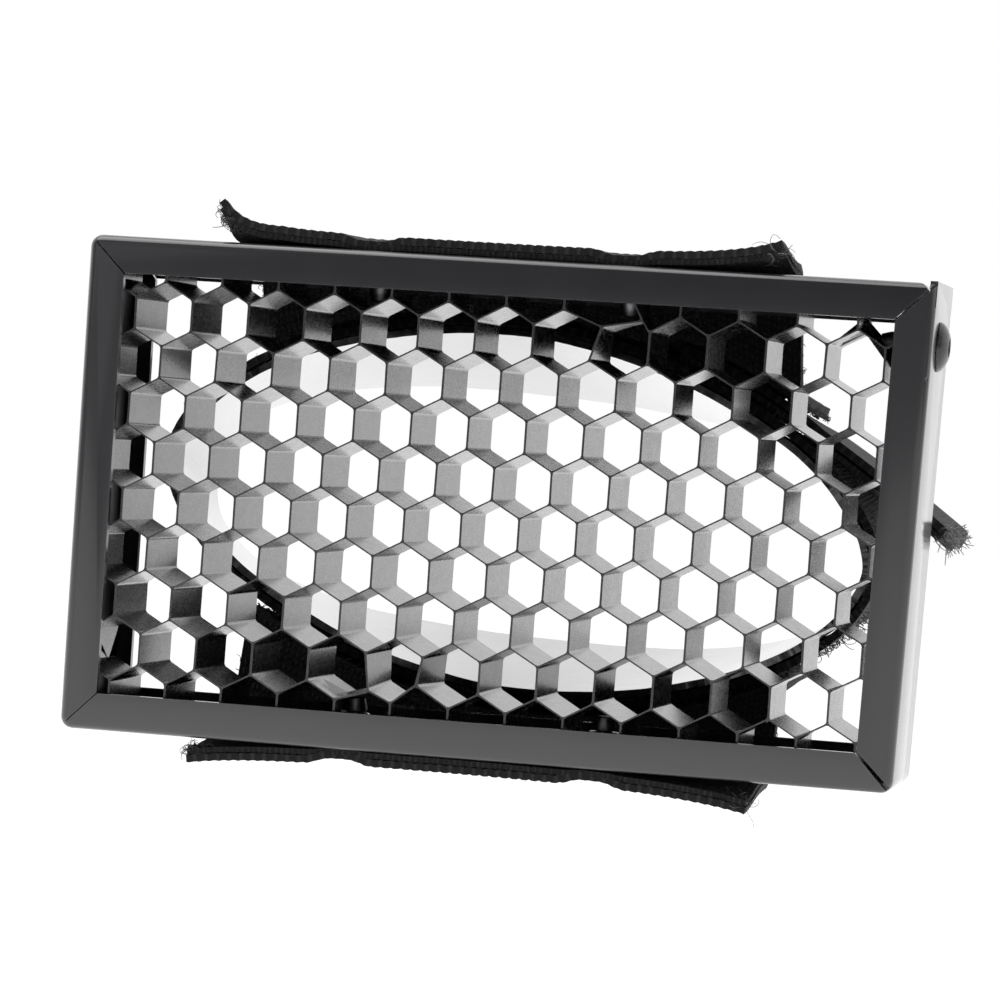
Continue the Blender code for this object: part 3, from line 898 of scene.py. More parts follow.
    def build(self) -> bpy.types.Object:
        """Folds, cuts and seams the channel.

        Returns:
            The finished frame.
        """
        frame = self.rounded_block("channel_frame", 0.0, self.corner_round, self.lip_round, False)
        inner_corner = self.corner_round - self.sheet
        cavity = self.rounded_block("cavity", self.sheet, inner_corner, 0.3 * MM, True)
        lap = block(
            "lap", Vector((self.high.x - 2 * self.sheet, self.front, self.high.z - self.sheet - self.lap_length)),
            Vector((self.high.x, self.back, self.high.z)),
        )
        combine(cavity, lap)
        combine(frame, cavity)
        middle = (self.front + self.back) / 2
        combine(frame, self.window("front_window", self.front_lip, self.front_lip, self.front - MM, middle))
        combine(frame, self.window("rear_window", self.rear_lip_short, self.rear_lip_long, middle, self.back + MM))
        wall_end = block(
            "wall_end",
            Vector((self.high.x - self.sheet, self.front + 0.6 * self.lip_round, self.high.z - 2 * self.corner_round)),
            Vector((self.high.x, self.back - 0.6 * self.lip_round, self.high.z + self.wall_end_rise)),
        )
        combine(frame, self.corner_groove())
        combine(frame, wall_end, "UNION")
        lip_back = self.front + self.sheet + 0.05 * MM
        rear_front = self.back - self.sheet - 0.05 * MM
        front_lips = (self.front_lip, self.front_lip)
        rear_lips = (self.rear_lip_short, self.rear_lip_long)
        bend = 0.9 * self.corner_round
        for side, inner, outer, end in (
            ((-1, 1), self.seam, self.seam, bend),
            ((-1, -1), 0.7 * self.seam, 0.7 * self.seam, bend),
            ((1, -1), 0.55 * self.open_seam, self.open_seam, 0.6 * bend),
            ((1, 1), self.seam, 1.8 * self.seam, 0.0),
        ):
            combine(frame, self.mitre_slit(side, front_lips, inner, outer, end, self.front - MM, lip_back))
            combine(frame, self.mitre_slit(side, rear_lips, inner, outer, end, rear_front, self.back + MM))
        for rivet in RIVETS:
            drill = rivet.shank_radius + self.hole_clearance
            combine(frame, rod("shank_hole", rivet.place.translation, rivet.axis, drill, 6 * self.sheet))
        nick = Vector((self.high.x, self.front + 0.1 * self.lip_round, self.high.z - 10.2 * MM))
        bpy.ops.object.select_all(action="DESELECT")
        bpy.ops.mesh.primitive_ico_sphere_add(subdivisions=2, radius=self.nick_radius, location=nick)
        combine(frame, settle(bpy.context.active_object))
        soften_edges(frame, self.edge_break)
        self.spring_open(frame)
        tidy_mesh(frame, smooth=35)
        return dress(frame, FRAME_PAINT, "frame_paint", ("frame_channel",), "grid_frame")


# Blind rivets


@dataclass
class BlindRivet:
    """A set blind rivet with the stub of its stem, placed from its CAD node."""

    node: str
    axis: Vector
    finish: Finish
    slot: str
    shank_radius: float = 1.6 * MM
    bore: float = 1.0 * MM
    bulb_radius: float = 2.2 * MM
    bulb_length: float = 2.6 * MM
    stem_radius: float = 0.85 * MM
    stem_head: float = 1.4 * MM
    seat: float = 0.45 * MM
    head_height: float = 0.95 * MM

    def __post_init__(self) -> None:
        """Reads the rivet's place and reach from the frame."""
        low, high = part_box(self.node)
        stem_low, stem_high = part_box(f"{self.node}_stem")
        centre = (low + high) / 2
        size = high - low
        along = [abs(self.axis[i]) > 0.5 for i in range(3)]
        axis_index = along.index(True)
        self.head_radius = max(size[i] for i in range(3) if i != axis_index) / 2
        wall_low, wall_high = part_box("frame_channel")
        wall = wall_high.copy() if self.axis[axis_index] > 0 else wall_low.copy()
        if axis_index == 0:
            wall.x = -wall_low.x
        outer = wall[axis_index]
        tail = low[axis_index] if self.axis[axis_index] > 0 else high[axis_index]
        stem_end = stem_low[axis_index] if self.axis[axis_index] > 0 else stem_high[axis_index]
        self.top = self.seat + self.head_height
        self.tail = -abs(tail - outer)
        self.stem_end = -abs(stem_end - outer)
        foot = centre.copy()
        foot[axis_index] = outer
        self.place = Matrix.Translation(foot) @ self.axis.to_track_quat("Z", "Y").to_matrix().to_4x4()

    def build(self) -> list[bpy.types.Object]:
        """Turns the rivet and its stem.

        Returns:
            The two pieces.
        """
        rim = 0.12 * self.head_height
        inner = (self.bore + 0.2 * MM) / self.head_radius
        dome = [
            (
                self.head_radius * share,
                self.seat + rim + (self.head_height - rim) * (1 - share * share) ** 0.7,
            )
            for share in (inner + (1 - inner) * step / 9 for step in range(10))
        ]
        crown = dome[0][1]
        swell = [
            (
                self.shank_radius + (self.bulb_radius - self.shank_radius) * math.sin(math.pi * share) ** 0.6,
                self.tail + self.bulb_length * (1 - share),
            )
            for share in (step / 8 for step in range(9))
        ]
        body = [
            (self.bore, crown - 0.15 * MM), (self.bore + 0.08 * MM, crown - 0.02 * MM), *dome,
            (self.head_radius, self.seat + 0.3 * rim), (self.head_radius - 0.1 * MM, self.seat),
            (self.shank_radius, self.seat), *swell, (self.bore, self.tail),
        ]
        rivet = turned(f"set_{self.node}", body, self.place)
        shoulder = self.tail - 0.05 * MM
        stem = [
            (0.0, crown - 0.45 * MM), (0.5 * self.stem_radius, crown - 0.30 * MM),
            (0.85 * self.stem_radius, crown - 0.36 * MM), (self.stem_radius, crown - 0.50 * MM),
            (self.stem_radius, shoulder), (self.stem_head, shoulder - 0.15 * MM),
            (self.stem_head, shoulder - 0.55 * MM), (0.8 * self.stem_head, self.stem_end + 0.12 * MM),
            (0.6 * self.stem_head, self.stem_end), (0.0, self.stem_end),
        ]
        pin = turned(f"set_{self.node}_stem", stem, self.place, steps=20)
        if self.axis == X_AXIS:
            ChannelFrame().spring_open(rivet)
            ChannelFrame().spring_open(pin)
        return [
            dress(rivet, self.finish, self.slot, (self.node,), "grid_frame"),
            dress(pin, STEM_STEEL, "stem_steel", (f"{self.node}_stem",), "grid_frame"),
        ]


RIVETS = [
    BlindRivet(f"{side.label}_rivet_{end}", Z_AXIS * side.value, BRIGHT_RIVET, "rivet_bright")
    for side in Side
    for end in ("left", "right")
] + [BlindRivet("corner_rivet", X_AXIS, BLACK_RIVET, "rivet_black", seat=0.0, head_height=1.35 * MM)]


# Honeycomb panel


@dataclass(frozen=True)
class Bend:
    """A place where handling has pushed the cell walls out of line."""

    centre: tuple[float, float]
    reach: float
    push: tuple[float, float]
    front: float = 1.0
    back: float = 1.0


@dataclass
class HoneycombPanel:
    """The deep foil honeycomb inside the channel. Its upright walls are bonded pairs, and so thicker."""

    pitch: float = 6.35 * MM
    row_pitch: float = 5.27 * MM
    wall: float = 0.15 * MM
    bonded_wall: float = 0.24 * MM
    corner_round: float = 0.22 * MM
    shift: tuple[float, float] = (0.6 * MM, -2.5 * MM)
    tilt: float = math.radians(-0.45)
    depth_cuts: int = 3
    unevenness: float = 0.05 * MM
    rivet_room: float = 0.25 * MM
    bends: tuple[Bend, ...] = (
        Bend((13.3 * MM, 21.9 * MM), 2.6 * MM, (2.2 * MM, -0.6 * MM), 1.0, 0.3),
        Bend((13.3 * MM, 18.3 * MM), 2.4 * MM, (0.6 * MM, -1.7 * MM), 1.0, 0.2),
        Bend((10.2 * MM, 20.2 * MM), 2.2 * MM, (1.0 * MM, 0.2 * MM), 1.0, 0.2),
        Bend((-13.0 * MM, -20.5 * MM), 2.6 * MM, (0.7 * MM, -0.8 * MM), 1.0, 0.3),
        Bend((-7.0 * MM, -19.6 * MM), 2.6 * MM, (-0.8 * MM, 0.6 * MM), 0.9, 0.3),
        Bend((38.5 * MM, 19.0 * MM), 3.0 * MM, (0.9 * MM, 0.2 * MM), 1.0, 0.6),
    )

    def __post_init__(self) -> None:
        """Reads the panel's box from the frame."""
        self.low, self.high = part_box("honeycomb_panel")

    def cell(self) -> bpy.types.Object:
        """One cell: a hexagonal tube with rounded inner corners, closed to its neighbours' outline front and back."""
        side = self.pitch / math.sqrt(3)
        squeeze = self.row_pitch / (1.5 * side)
        depth = self.high.y - self.low.y
        middle = (self.high.y + self.low.y) / 2
        bpy.ops.object.select_all(action="DESELECT")
        bpy.ops.mesh.primitive_cylinder_add(
            vertices=6, radius=side - self.wall / math.sqrt(3), depth=depth, end_fill_type="NOTHING",
            location=(0, middle, 0), rotation=(math.radians(90), 0, 0),
        )
        cell = bpy.context.active_object
        cell.name = cell.data.name = "cell_panel"
        settle(cell)
        with editing(cell):
            bpy.ops.mesh.select_all(action="SELECT")
            narrow = (self.pitch - self.bonded_wall) / (self.pitch - self.wall)
            bpy.ops.transform.resize(value=(narrow, 1, squeeze), center_override=(0, middle, 0))
            pick(cell, Pick.EDGE, lambda edge: runs_along(edge, Y_AXIS))
            bpy.ops.mesh.bevel(offset=self.corner_round, segments=2, affect="EDGES")
            for cut in range(self.depth_cuts):
                bpy.ops.mesh.select_all(action="SELECT")
                at = self.low.y + depth * (cut + 1) / (self.depth_cuts + 1)
                bpy.ops.mesh.bisect(plane_co=(0, at, 0), plane_no=(0, 1, 0))
            for end in (self.low.y, self.high.y):
                bpy.ops.mesh.select_all(action="DESELECT")
                bpy.ops.mesh.primitive_circle_add(
                    vertices=6, radius=side, location=(0, end, 0), rotation=(math.radians(90), 0, 0)
                )
                bpy.ops.transform.resize(value=(1, 1, squeeze), center_override=(0, end, 0))
                pick(
                    cell, Pick.EDGE,
                    lambda edge: all(abs(vert.co.y - end) < 1e-7 for vert in edge.verts) and len(edge.link_faces) < 2,
                )
                bpy.ops.mesh.fill(use_beauty=True)
        return cell

    def lattice(self) -> bpy.types.Object:
        """Repeats the cell over the whole panel and trims it to the panel's outline."""
        panel = self.cell()
        columns = math.ceil((self.high.x - self.low.x) / self.pitch) + 3
        pairs = math.ceil((self.high.z - self.low.z) / (2 * self.row_pitch)) + 2
        array = {"use_relative_offset": False, "use_constant_offset": True, "use_merge_vertices": True,
                 "merge_threshold": 0.01 * MM}
        apply_modifier(panel, "ARRAY", count=columns, constant_offset_displace=(self.pitch, 0, 0), **array)
        activate(panel)
        bpy.ops.object.duplicate()
        second = bpy.context.active_object
        second.location = (self.pitch / 2, 0, self.row_pitch)
        settle(second)
        activate(panel, second)
        bpy.ops.object.join()
        apply_modifier(panel, "ARRAY", count=pairs, constant_offset_displace=(0, 0, 2 * self.row_pitch), **array)
        start = Vector(
            (self.shift[0] - (columns // 2) * self.pitch, 0, self.shift[1] - (pairs // 2) * 2 * self.row_pitch)
        )
        turn = Matrix.Rotation(-self.tilt, 4, "Y")
        panel.matrix_world = turn @ Matrix.Translation(start)
        settle(panel)
        with editing(panel):
            bpy.ops.mesh.select_all(action="SELECT")
            bpy.ops.mesh.remove_doubles(threshold=0.01 * MM)
            bpy.ops.mesh.normals_make_consistent(inside=False)
            for axis, value, way in ((0, self.low.x, -1), (0, self.high.x, 1), (2, self.low.z, -1), (2, self.high.z, 1)):
                plane = Vector((0, 0, 0))
                plane[axis] = value
                out = Vector((0, 0, 0))
                out[axis] = way
                bpy.ops.mesh.select_all(action="SELECT")
                bpy.ops.mesh.bisect(plane_co=plane, plane_no=out, clear_outer=True)
            pick(panel, Pick.EDGE, lambda edge: edge.is_boundary)
            bpy.ops.mesh.fill_holes(sides=0)
        return panel

    @staticmethod
    def drop_chips(panel: bpy.types.Object) -> None:
        """Deletes the chips of cell wall that trimming leaves loose."""
        with editing(panel):
            mesh = bmesh.from_edit_mesh(panel.data)
            unseen = set(mesh.verts)
            bodies = []
            while unseen:
                body, front = set(), [unseen.pop()]
                while front:
                    vert = front.pop()
                    body.add(vert)
                    for edge in vert.link_edges:
                        other = edge.other_vert(vert)
                        if other in unseen:
                            unseen.remove(other)
                            front.append(other)
                bodies.append(body)
            largest = max(bodies, key=len)
            pick(panel, Pick.VERT, lambda vert: vert not in largest)
            bpy.ops.mesh.delete(type="VERT")

    def pushed(self, point: Vector) -> Vector:
        """Where a point of the straight lattice stands in the real one."""
        share = (point.y - self.low.y) / (self.high.y - self.low.y)
        moved = point.copy()
        for bend in self.bends:
            away = math.hypot(point.x - bend.centre[0], point.z - bend.centre[1]) / bend.reach
            amount = math.exp(-2 * away * away) * (bend.front + (bend.back - bend.front) * share)
            moved.x += bend.push[0] * amount
            moved.z += bend.push[1] * amount
        wander = noise.noise_vector(Vector((point.x, point.y * 0.4, point.z)) / (4.5 * MM))
        moved.x += self.unevenness * wander.x
        moved.z += self.unevenness * wander.z
        for rivet in RIVETS:
            local = rivet.place.inverted() @ moved
            if rivet.stem_end - 1.2 * MM < local.z < 0:
                room = rivet.bulb_radius + self.rivet_room + self.wall
                flat = Vector((local.x, local.y, 0))
                if flat.length < room:
                    sideways = rivet.place.to_3x3() @ flat
                    sideways.y = 0
                    sideways = sideways.normalized() if sideways.length > 1e-9 else X_AXIS
                    moved += sideways * (room - flat.length)
        edge_x = min(moved.x - self.low.x, self.high.x - moved.x)
        edge_z = min(moved.z - self.low.z, self.high.z - moved.z)
        if edge_x < 0 or edge_z < 0:
            moved.x = min(max(moved.x, self.low.x), self.high.x)
            moved.z = min(max(moved.z, self.low.z), self.high.z)
        return moved

    def build(self) -> bpy.types.Object:
        """Forms, bends and dresses the panel.

        Returns:
            The finished panel.
        """
        panel = self.lattice()
        self.drop_chips(panel)
        for vert in panel.data.vertices:
            vert.co = self.pushed(vert.co)
        tidy_mesh(panel, smooth=32)
        apply_modifier(panel, "WEIGHTED_NORMAL", keep_sharp=True, weight=50)
        return dress(panel, GRID_FOIL, "grid_foil", ("honeycomb_panel",), "grid_frame")


# Strap round the flash head


@dataclass
class HeadStrap:
    """The loop round the flash head, the end that laps over it and the free pull tab."""

    width: float = 38.0 * MM
    lining: float = 0.8 * MM
    webbing: float = 0.9 * MM
    hook_layer: float = 0.6 * MM
    gap: float = 0.3 * MM
    front_opening: tuple[float, float] = (80.3 * MM, 40.2 * MM)
    back_opening: tuple[float, float] = (83.0 * MM, 30.0 * MM)
    front_centre: tuple[float, float] = (-1.5 * MM, -0.6 * MM)
    back_centre: tuple[float, float] = (-5.4 * MM, -1.7 * MM)
    front_roll: float = math.radians(-6.2)
    back_roll: float = math.radians(-3.0)
    front_power: float = 1.8
    back_power: float = 2.5
    overlap_start: float = math.radians(66.0)
    overlap_end: float = math.radians(38.0)
    tab_length: float = 18.0 * MM
    ripple: float = 0.35 * MM
    fray: float = 0.25 * MM
    seed: int = 11

    def __post_init__(self) -> None:
        """Works out the layers' places."""
        self.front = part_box("strap_webbing")[0].y
        self.thickness = self.lining + self.gap + self.webbing
        self.lap_inner = self.thickness + self.gap
        self.rng = random.Random(self.seed)

    def oval(self, angle: float, back: bool, offset: float) -> Vector:
        """A point of the front or back rim, off the strap's inner face."""
        opening, centre, roll = (
            (self.back_opening, self.back_centre, self.back_roll)
            if back
            else (self.front_opening, self.front_centre, self.front_roll)
        )
        half_width, half_height = opening[0] / 2, opening[1] / 2
        cos, sin = math.cos(angle), math.sin(angle)
        power = 2 / (self.back_power if back else self.front_power)
        x = half_width * math.copysign(abs(cos) ** power, cos)
        z = half_height * math.copysign(abs(sin) ** power, sin)
        normal = Vector(
            (
                math.copysign(abs(cos) ** (2 - power), cos) / half_width,
                math.copysign(abs(sin) ** (2 - power), sin) / half_height,
            )
        ).normalized()
        return Matrix.Rotation(roll, 2) @ (Vector((x, z)) + normal * offset) + Vector(centre)

    def point(self, angle: float, along: float, offset: float) -> Vector:
        """A point round the loop, along 0 at its front edge and 1 at its back, off its inner face."""
        place = self.oval(angle, False, offset).lerp(self.oval(angle, True, offset), along)
        return Vector((place.x, self.front + along * self.width, place.y))

    def slack(self, angle: float, along: float) -> float:
        """How far the limp band wanders off its even oval, inwards only."""
        drift = noise.noise(Vector((3 * math.cos(angle), 3 * math.sin(angle), 1.3 * along)))
        crimp = noise.noise(Vector((9 * math.cos(angle), 9 * math.sin(angle), 2.0 * along + 5)))
        return -self.ripple * (0.5 + 0.5 * drift) - 0.3 * self.ripple * (0.5 + 0.5 * crimp)

    def ragged(self, along: float, angle: float) -> float:
        """The share along the width, moved a little at the two cut edges."""
        jitter = noise.noise(Vector((60 * math.cos(angle), 60 * math.sin(angle), 0.0))) * self.fray / self.width
        near = max(0.0, 1 - along / 0.06) + max(0.0, 1 - (1 - along) / 0.06)
        return along + jitter * near

    def loop(self, name: str, low: float, high: float) -> bpy.types.Object:
        """One layer of the closed loop, between two offsets from the inner face."""
        middle = (low + high) / 2

        def place(across: float, round_: float) -> Vector:
            angle = self.overlap_end + math.tau * round_
            return self.point(angle, self.ragged(across, angle), middle + self.slack(angle, across))

        band = cloth_grid(name, 30, 260, (self.width, self.loop_length(middle)), place, closed=True)
        thicken(band, high - low)
        return band

    def cover(self, side: "Side") -> Callable[[float, float], float]:
        """The height of the strap's outer face over (x, y) on one side, as a smoothed function.

        Args:
            side: The upper or the lower half.

        Returns:
            The function. It gives 0 beyond the strap's ends.
        """
        up = side.value
        rows = []
        for along in (0.0, 0.35, 0.7):
            points = []
            for step in range(0, 181):
                angle = math.radians(step * up)
                lap = min(max((angle - self.overlap_end) / math.radians(1), 0.0), 1.0) * min(
                    max((self.overlap_start + math.radians(5) - angle) / math.radians(5), 0.0), 1.0
                )
                rise = self.gap + self.hook_layer + self.gap + self.webbing
                points.append(self.point(angle, along, self.thickness + lap * rise))
            rows.append(points)

        def height(x: float, y: float) -> float:
            along = min(max((y - self.front) / self.width / 0.35, 0.0), 1.999)
            row = int(along)
            share = along - row
            found = []
            for points in rows[row:row + 2]:
                best = 0.0
                for here, there in zip(points, points[1:]):
                    if min(here.x, there.x) <= x <= max(here.x, there.x) and here.x != there.x:
                        best = max(best, up * (here.z + (there.z - here.z) * (x - here.x) / (there.x - here.x)))
                found.append(best)
            return up * (found[0] + (found[1] - found[0]) * share)

        return height

    def loop_length(self, offset: float) -> float:
        """The length of cloth round the loop at an offset, half way along its width."""
        points = [self.point(math.tau * step / 360, 0.5, offset) for step in range(361)]
        return sum((there - here).length for here, there in zip(points, points[1:]))

    def tab_root(self, along: float, offset: float) -> tuple[Vector, Vector, Vector]:
        """Where the tab leaves the loop, the way it runs and the way it faces."""
        before = self.overlap_end + math.radians(2)
        here = self.point(self.overlap_end, along, self.lap_inner)
        runs = [self.point(self.overlap_end, end, self.lap_inner) - self.point(before, end, self.lap_inner) for end in (0, 1)]
        run = (runs[0].normalized() + runs[1].normalized()).normalized()
        out = Vector((-run.z, 0, run.x))
        return here + out * offset, run, out

    @property
    def lap_span(self) -> float:
        """The length of the lap along the loop."""
        points = [
            self.point(self.overlap_start + (self.overlap_end - self.overlap_start) * step / 20, 0.5, self.lap_inner)
            for step in range(21)
        ]
        return sum((there - here).length for here, there in zip(points, points[1:]))

    def lap_point(self, across: float, distance: float, offset: float) -> Vector:
        """A point of the lapped end: over the loop first, then straight on as the tab."""
        if distance <= self.lap_span:
            share = distance / self.lap_span
            angle = self.overlap_start + (self.overlap_end - self.overlap_start) * share
            return self.point(angle, across, self.lap_inner + offset)
        root, run, out = self.tab_root(across, offset)
        beyond = distance - self.lap_span
        droop = 0.9 * MM * (beyond / self.tab_length) ** 2
        wave = 0.5 * MM * math.sin(math.pi * across * 2.2 + 0.5) * beyond / self.tab_length
        return root + run * beyond + out * (wave - droop)

    def lap_layer(self, name: str, low: float, high: float) -> bpy.types.Object:
        """One layer of the lapped end and its tab."""
        total = self.lap_span + self.tab_length
        middle = (low + high) / 2

        def place(across: float, along: float) -> Vector:
            end = 1.0 + 0.05 * noise.noise(Vector((across * 14, 3.1, low / MM)))
            return self.lap_point(across, along * total * (1 + (end - 1) * along ** 6), middle)

        band = cloth_grid(name, 40, 60, (self.width, total), place)
        thicken(band, high - low)
        return band

    def outward(self, angle: float, along: float) -> Vector:
        """The way out from the loop at a point."""
        return (self.point(angle, along, 1 * MM) - self.point(angle, along, 0.0)).normalized()

    def pile(self, first: float, last: float, count: int, size: tuple[float, float]) -> list[list[Vector]]:
        """Loops of pile standing on the outer face between two angles, mostly near the front edge."""
        strands = []
        for _ in range(count):
            angle = math.radians(self.rng.uniform(first, last))
            along = self.rng.random() ** 1.6
            root = self.point(angle, along, self.thickness - 0.15 * MM)
            way = self.outward(angle, along) + 0.5 * Vector([self.rng.gauss(0, 1) for _ in range(3)])
            strands.append(curl(self.rng, root, way, self.rng.uniform(*size), self.rng.uniform(2.5, 5.5)))
        return strands

    def edge_fuzz(self, count: int) -> list[list[Vector]]:
        """Short hairs along the front and back edges of the loop."""
        strands = []
        for _ in range(count):
            angle = self.rng.uniform(0, math.tau)
            along = 0.0 if self.rng.random() < 0.7 else 1.0
            root = self.point(angle, along, self.rng.uniform(0.3, 1.0) * self.thickness)
            way = Y_AXIS * (-1 if along == 0 else 1) + 0.9 * Vector([self.rng.gauss(0, 1) for _ in range(3)])
            strands.append(curl(self.rng, root, way, self.rng.uniform(0.3, 0.9) * MM, self.rng.uniform(0.5, 2.5), 5))
        return strands

    def tab_fray(self, count: int) -> list[list[Vector]]:
        """Loose yarn ends at the tab's cut end."""
        strands = []
        total = self.lap_span + self.tab_length
        for _ in range(count):
            across = self.rng.random() ** 1.3
            offset = self.rng.uniform(0, self.hook_layer + self.gap + self.webbing)
            root = self.lap_point(across, total - 0.8 * MM, offset)
            _, run, out = self.tab_root(across, 0.0)
            way = run + 0.35 * out * self.rng.gauss(0, 1) + 0.35 * Y_AXIS * self.rng.gauss(-0.4, 1)
            strands.append(curl(self.rng, root, way, self.rng.uniform(1.2, 3.0) * MM, self.rng.uniform(0.3, 2.2)))
        return strands

    def build(self) -> None:
        """Winds the loop, laps its end over it and adds the pile and the frayed yarn."""
        webbing = self.loop("head_strap_webbing", self.lining + self.gap, self.thickness)
        dress(webbing, WEBBING, "webbing", ("strap_webbing",), "strap")
        lining = self.loop("head_strap_lining", 0.0, self.lining)
        dress(lining, GRIP_LINING, "grip_lining", ("strap_lining",), "strap")
        pile = threads(
            "head_strap_pile",
            self.pile(-75, 30, 420, (1.0 * MM, 2.6 * MM)) + self.pile(30, 85, 140, (0.8 * MM, 1.8 * MM)),
            0.055 * MM,
        )
        dress(pile, BLACK_FIBRE, "webbing", (), "strap")
        fuzz = threads("head_strap_fuzz", self.edge_fuzz(420), 0.04 * MM)
        dress(fuzz, BLACK_FIBRE, "webbing", (), "strap")
        length = self.loop_length(self.thickness)
        hook = self.lap_layer("lap_hook_tape", 0.0, self.hook_layer)
        outer = self.lap_layer(
            "lap_webbing", self.hook_layer + self.gap, self.hook_layer + self.gap + self.webbing
        )
        fray = threads("lap_frayed_yarn", self.tab_fray(150), 0.07 * MM)
        root, run, _ = self.tab_root(0.5, 0.0)
        lap_flat = (self.width, self.lap_span + self.tab_length)
        for obj, finish, slot, nodes in (
            (hook, HOOK_TAPE, "hook_tape", ("strap_overlap_hook", "strap_tab_hook")),
            (outer, WEBBING, "webbing", ("strap_overlap_webbing", "strap_tab_webbing")),
            # the frayed yarn is painted pale: painted highlights on the loose hairs
            (fray, FIBRE_WITH_PAINTED_HIGHLIGHT, "webbing", ()),
        ):
            dress(obj, finish, slot, nodes)
            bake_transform(obj)


# Flaps


@dataclass(frozen=True)
class Curl:
    """A corner or stretch of a flap's front edge that stands away from the frame."""

    at: float
    lift: float
    reach: float
    depth: float


@dataclass
class Flap:
    """A hook-and-loop flap, riveted to the frame and laid over the strap."""

    side: Side
    curls: tuple[Curl, ...]
    hook_layer: float = 0.6 * MM
    webbing: float = 0.8 * MM
    rib_pitch: float = 1.1 * MM
    rib_height: float = 0.16 * MM
    bedding: float = 0.2 * MM
    pinch: float = 0.80 * MM
    pinch_width: float = 2.7 * MM
    hook_pitch: float = 1.5 * MM
    hook_height: float = 0.38 * MM
    seed: int = 5
    stations: int = 24
    clearance: float = 0.45 * MM

    def __post_init__(self) -> None:
        """Reads the flap's root and tail from the frame."""
        name = self.side.label
        root_low, root_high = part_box(f"{name}_flap_root_hook")
        tail_low, tail_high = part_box(f"{name}_flap_tail_hook")
        up = self.side.value
        self.left, self.right = root_low.x, root_high.x
        self.front, self.frame_back, self.end = root_low.y, root_high.y, tail_high.y
        self.root_height = root_low.z if up > 0 else root_high.z
        self.rest_height = tail_low.z if up > 0 else tail_high.z
        self.swing = 8.5 * MM
        self.rng = random.Random(self.seed + up)
        cover = HeadStrap().cover(self.side)
        self.columns = []
        for column in range(self.stations + 1):
            x = self.left + self.width * column / self.stations
            rest = [up * cover(x, y) + self.clearance for y in (self.frame_back + 9 * MM, self.frame_back + 22 * MM, self.end)]
            self.columns.append([up * value for value in rest])
        steps = 120
        self.paths = [[self.profile(step / steps, rest) for step in range(steps + 1)] for rest in self.columns]
        middle = self.paths[self.stations // 2]
        self.runs = [0.0]
        for here, there in zip(middle, middle[1:]):
            self.runs.append(self.runs[-1] + (there - here).length)

    @property
    def width(self) -> float:
        """The flap's width."""
        return self.right - self.left

    @property
    def length(self) -> float:
        """The flap's length along the cloth."""
        return self.runs[-1]

    def profile(self, share: float, rest: list[float]) -> Vector:
        """The inner face's line at one station, as (y, z), by its share of the way back."""
        y = self.front + (self.end - self.front) * share
        fall = min(max((y - self.frame_back) / self.swing, 0.0), 1.0)
        fall = fall * fall * (3 - 2 * fall)
        back = min(max((y - self.frame_back - 9 * MM) / (13 * MM), 0.0), 2.0)
        laid = rest[0] + (rest[1] - rest[0]) * min(back, 1.0) + (rest[2] - rest[1]) * max(back - 1.0, 0.0)
        return Vector((y, self.root_height + (laid - self.root_height) * fall))

    def line(self, x: float, distance: float) -> tuple[Vector, Vector]:
        """The point of the inner face at a distance along the cloth, and the way out from it."""
        place = min(max((x - self.left) / self.width, 0.0), 0.9999) * self.stations
        near, far = self.station_line(int(place), distance), self.station_line(int(place) + 1, distance)
        share = place - int(place)
        return near[0].lerp(far[0], share), near[1].lerp(far[1], share).normalized()

    def station_line(self, station: int, distance: float) -> tuple[Vector, Vector]:
        """The same at one station across the flap."""
        self.path = self.paths[station]
        count = len(self.path) - 1
        low, high = 0, count
        while high - low > 1:
            middle = (low + high) // 2
            if self.runs[middle] <= distance:
                low = middle
            else:
                high = middle
        here, there = self.path[low], self.path[high]
        span = self.runs[high] - self.runs[low]
        run = (there - here).normalized()
        return here + (there - here) * ((distance - self.runs[low]) / span), Vector((-run.y, run.x)) * self.side.value

    def lift(self, x: float, distance: float) -> float:
        """How far the flap stands off its even line there."""
        total = 0.0
        for lifted in self.curls:
            sideways = abs(x - lifted.at) / lifted.reach
            back = distance / lifted.depth
            total += lifted.lift * math.exp(-sideways - back * back)
        wave = noise.noise(Vector((x / (9 * MM), distance / (14 * MM), self.side.value)))
        near_rivets = min(distance / (12 * MM), 1.0)
        return total + 0.25 * MM * (0.5 + 0.5 * wave) * near_rivets

    def pinched(self, x: float, distance: float, offset: float) -> float:
        """How far the rivets pull the cloth in there, more on its outer face than on its inner one."""
        total = 0.0
        for rivet in RIVETS:
            if rivet.axis.z * self.side.value < 0.5:
                continue
            sideways = (x - rivet.place.translation.x) / self.pinch_width
            behind = max(0.0, distance - (rivet.place.translation.y - self.front)) / (2.4 * MM)
            total += math.exp(-(sideways ** 4) - behind * behind)
        share = min(max(offset / (self.hook_layer + self.webbing), 0.0), 1.0)
        return self.pinch * share * total

    def surface(self, x: float, distance: float, offset: float) -> Vector:
        """A point of the flap, at an offset from its inner face."""
        at, out = self.line(x, min(max(distance, 0.0), self.length))
        bedded = self.bedding * min(max((self.frame_back - self.front - distance) / (3 * MM) + 1, 0.0), 1.0)
        off = offset + self.lift(x, distance) - self.pinched(x, distance, offset) - bedded
        return Vector((x, at.x + out.x * off, at.y + out.y * off))

    def layer(self, name: str, low: float, high: float, ribs: float, seed: float) -> bpy.types.Object:
        """One layer of the flap as a thick sheet with a lightly uneven edge."""
        middle = (low + high) / 2

        def place(across: float, along: float) -> Vector:
            x = self.left + self.width * across
            distance = self.length * along
            edge = noise.noise(Vector((x / (2.2 * MM), seed, 0.0))) * 0.3 * MM
            distance += edge * max(0.0, 1 - along / 0.04)
            weave = abs(math.sin(math.pi * x / self.rib_pitch)) * abs(math.cos(math.pi * distance / self.rib_pitch))
            return self.surface(x, distance, middle + ribs * weave)

        sheet = cloth_grid(name, 170, 90, (self.width, self.length), place)
        thicken(sheet, high - low)
        return sheet

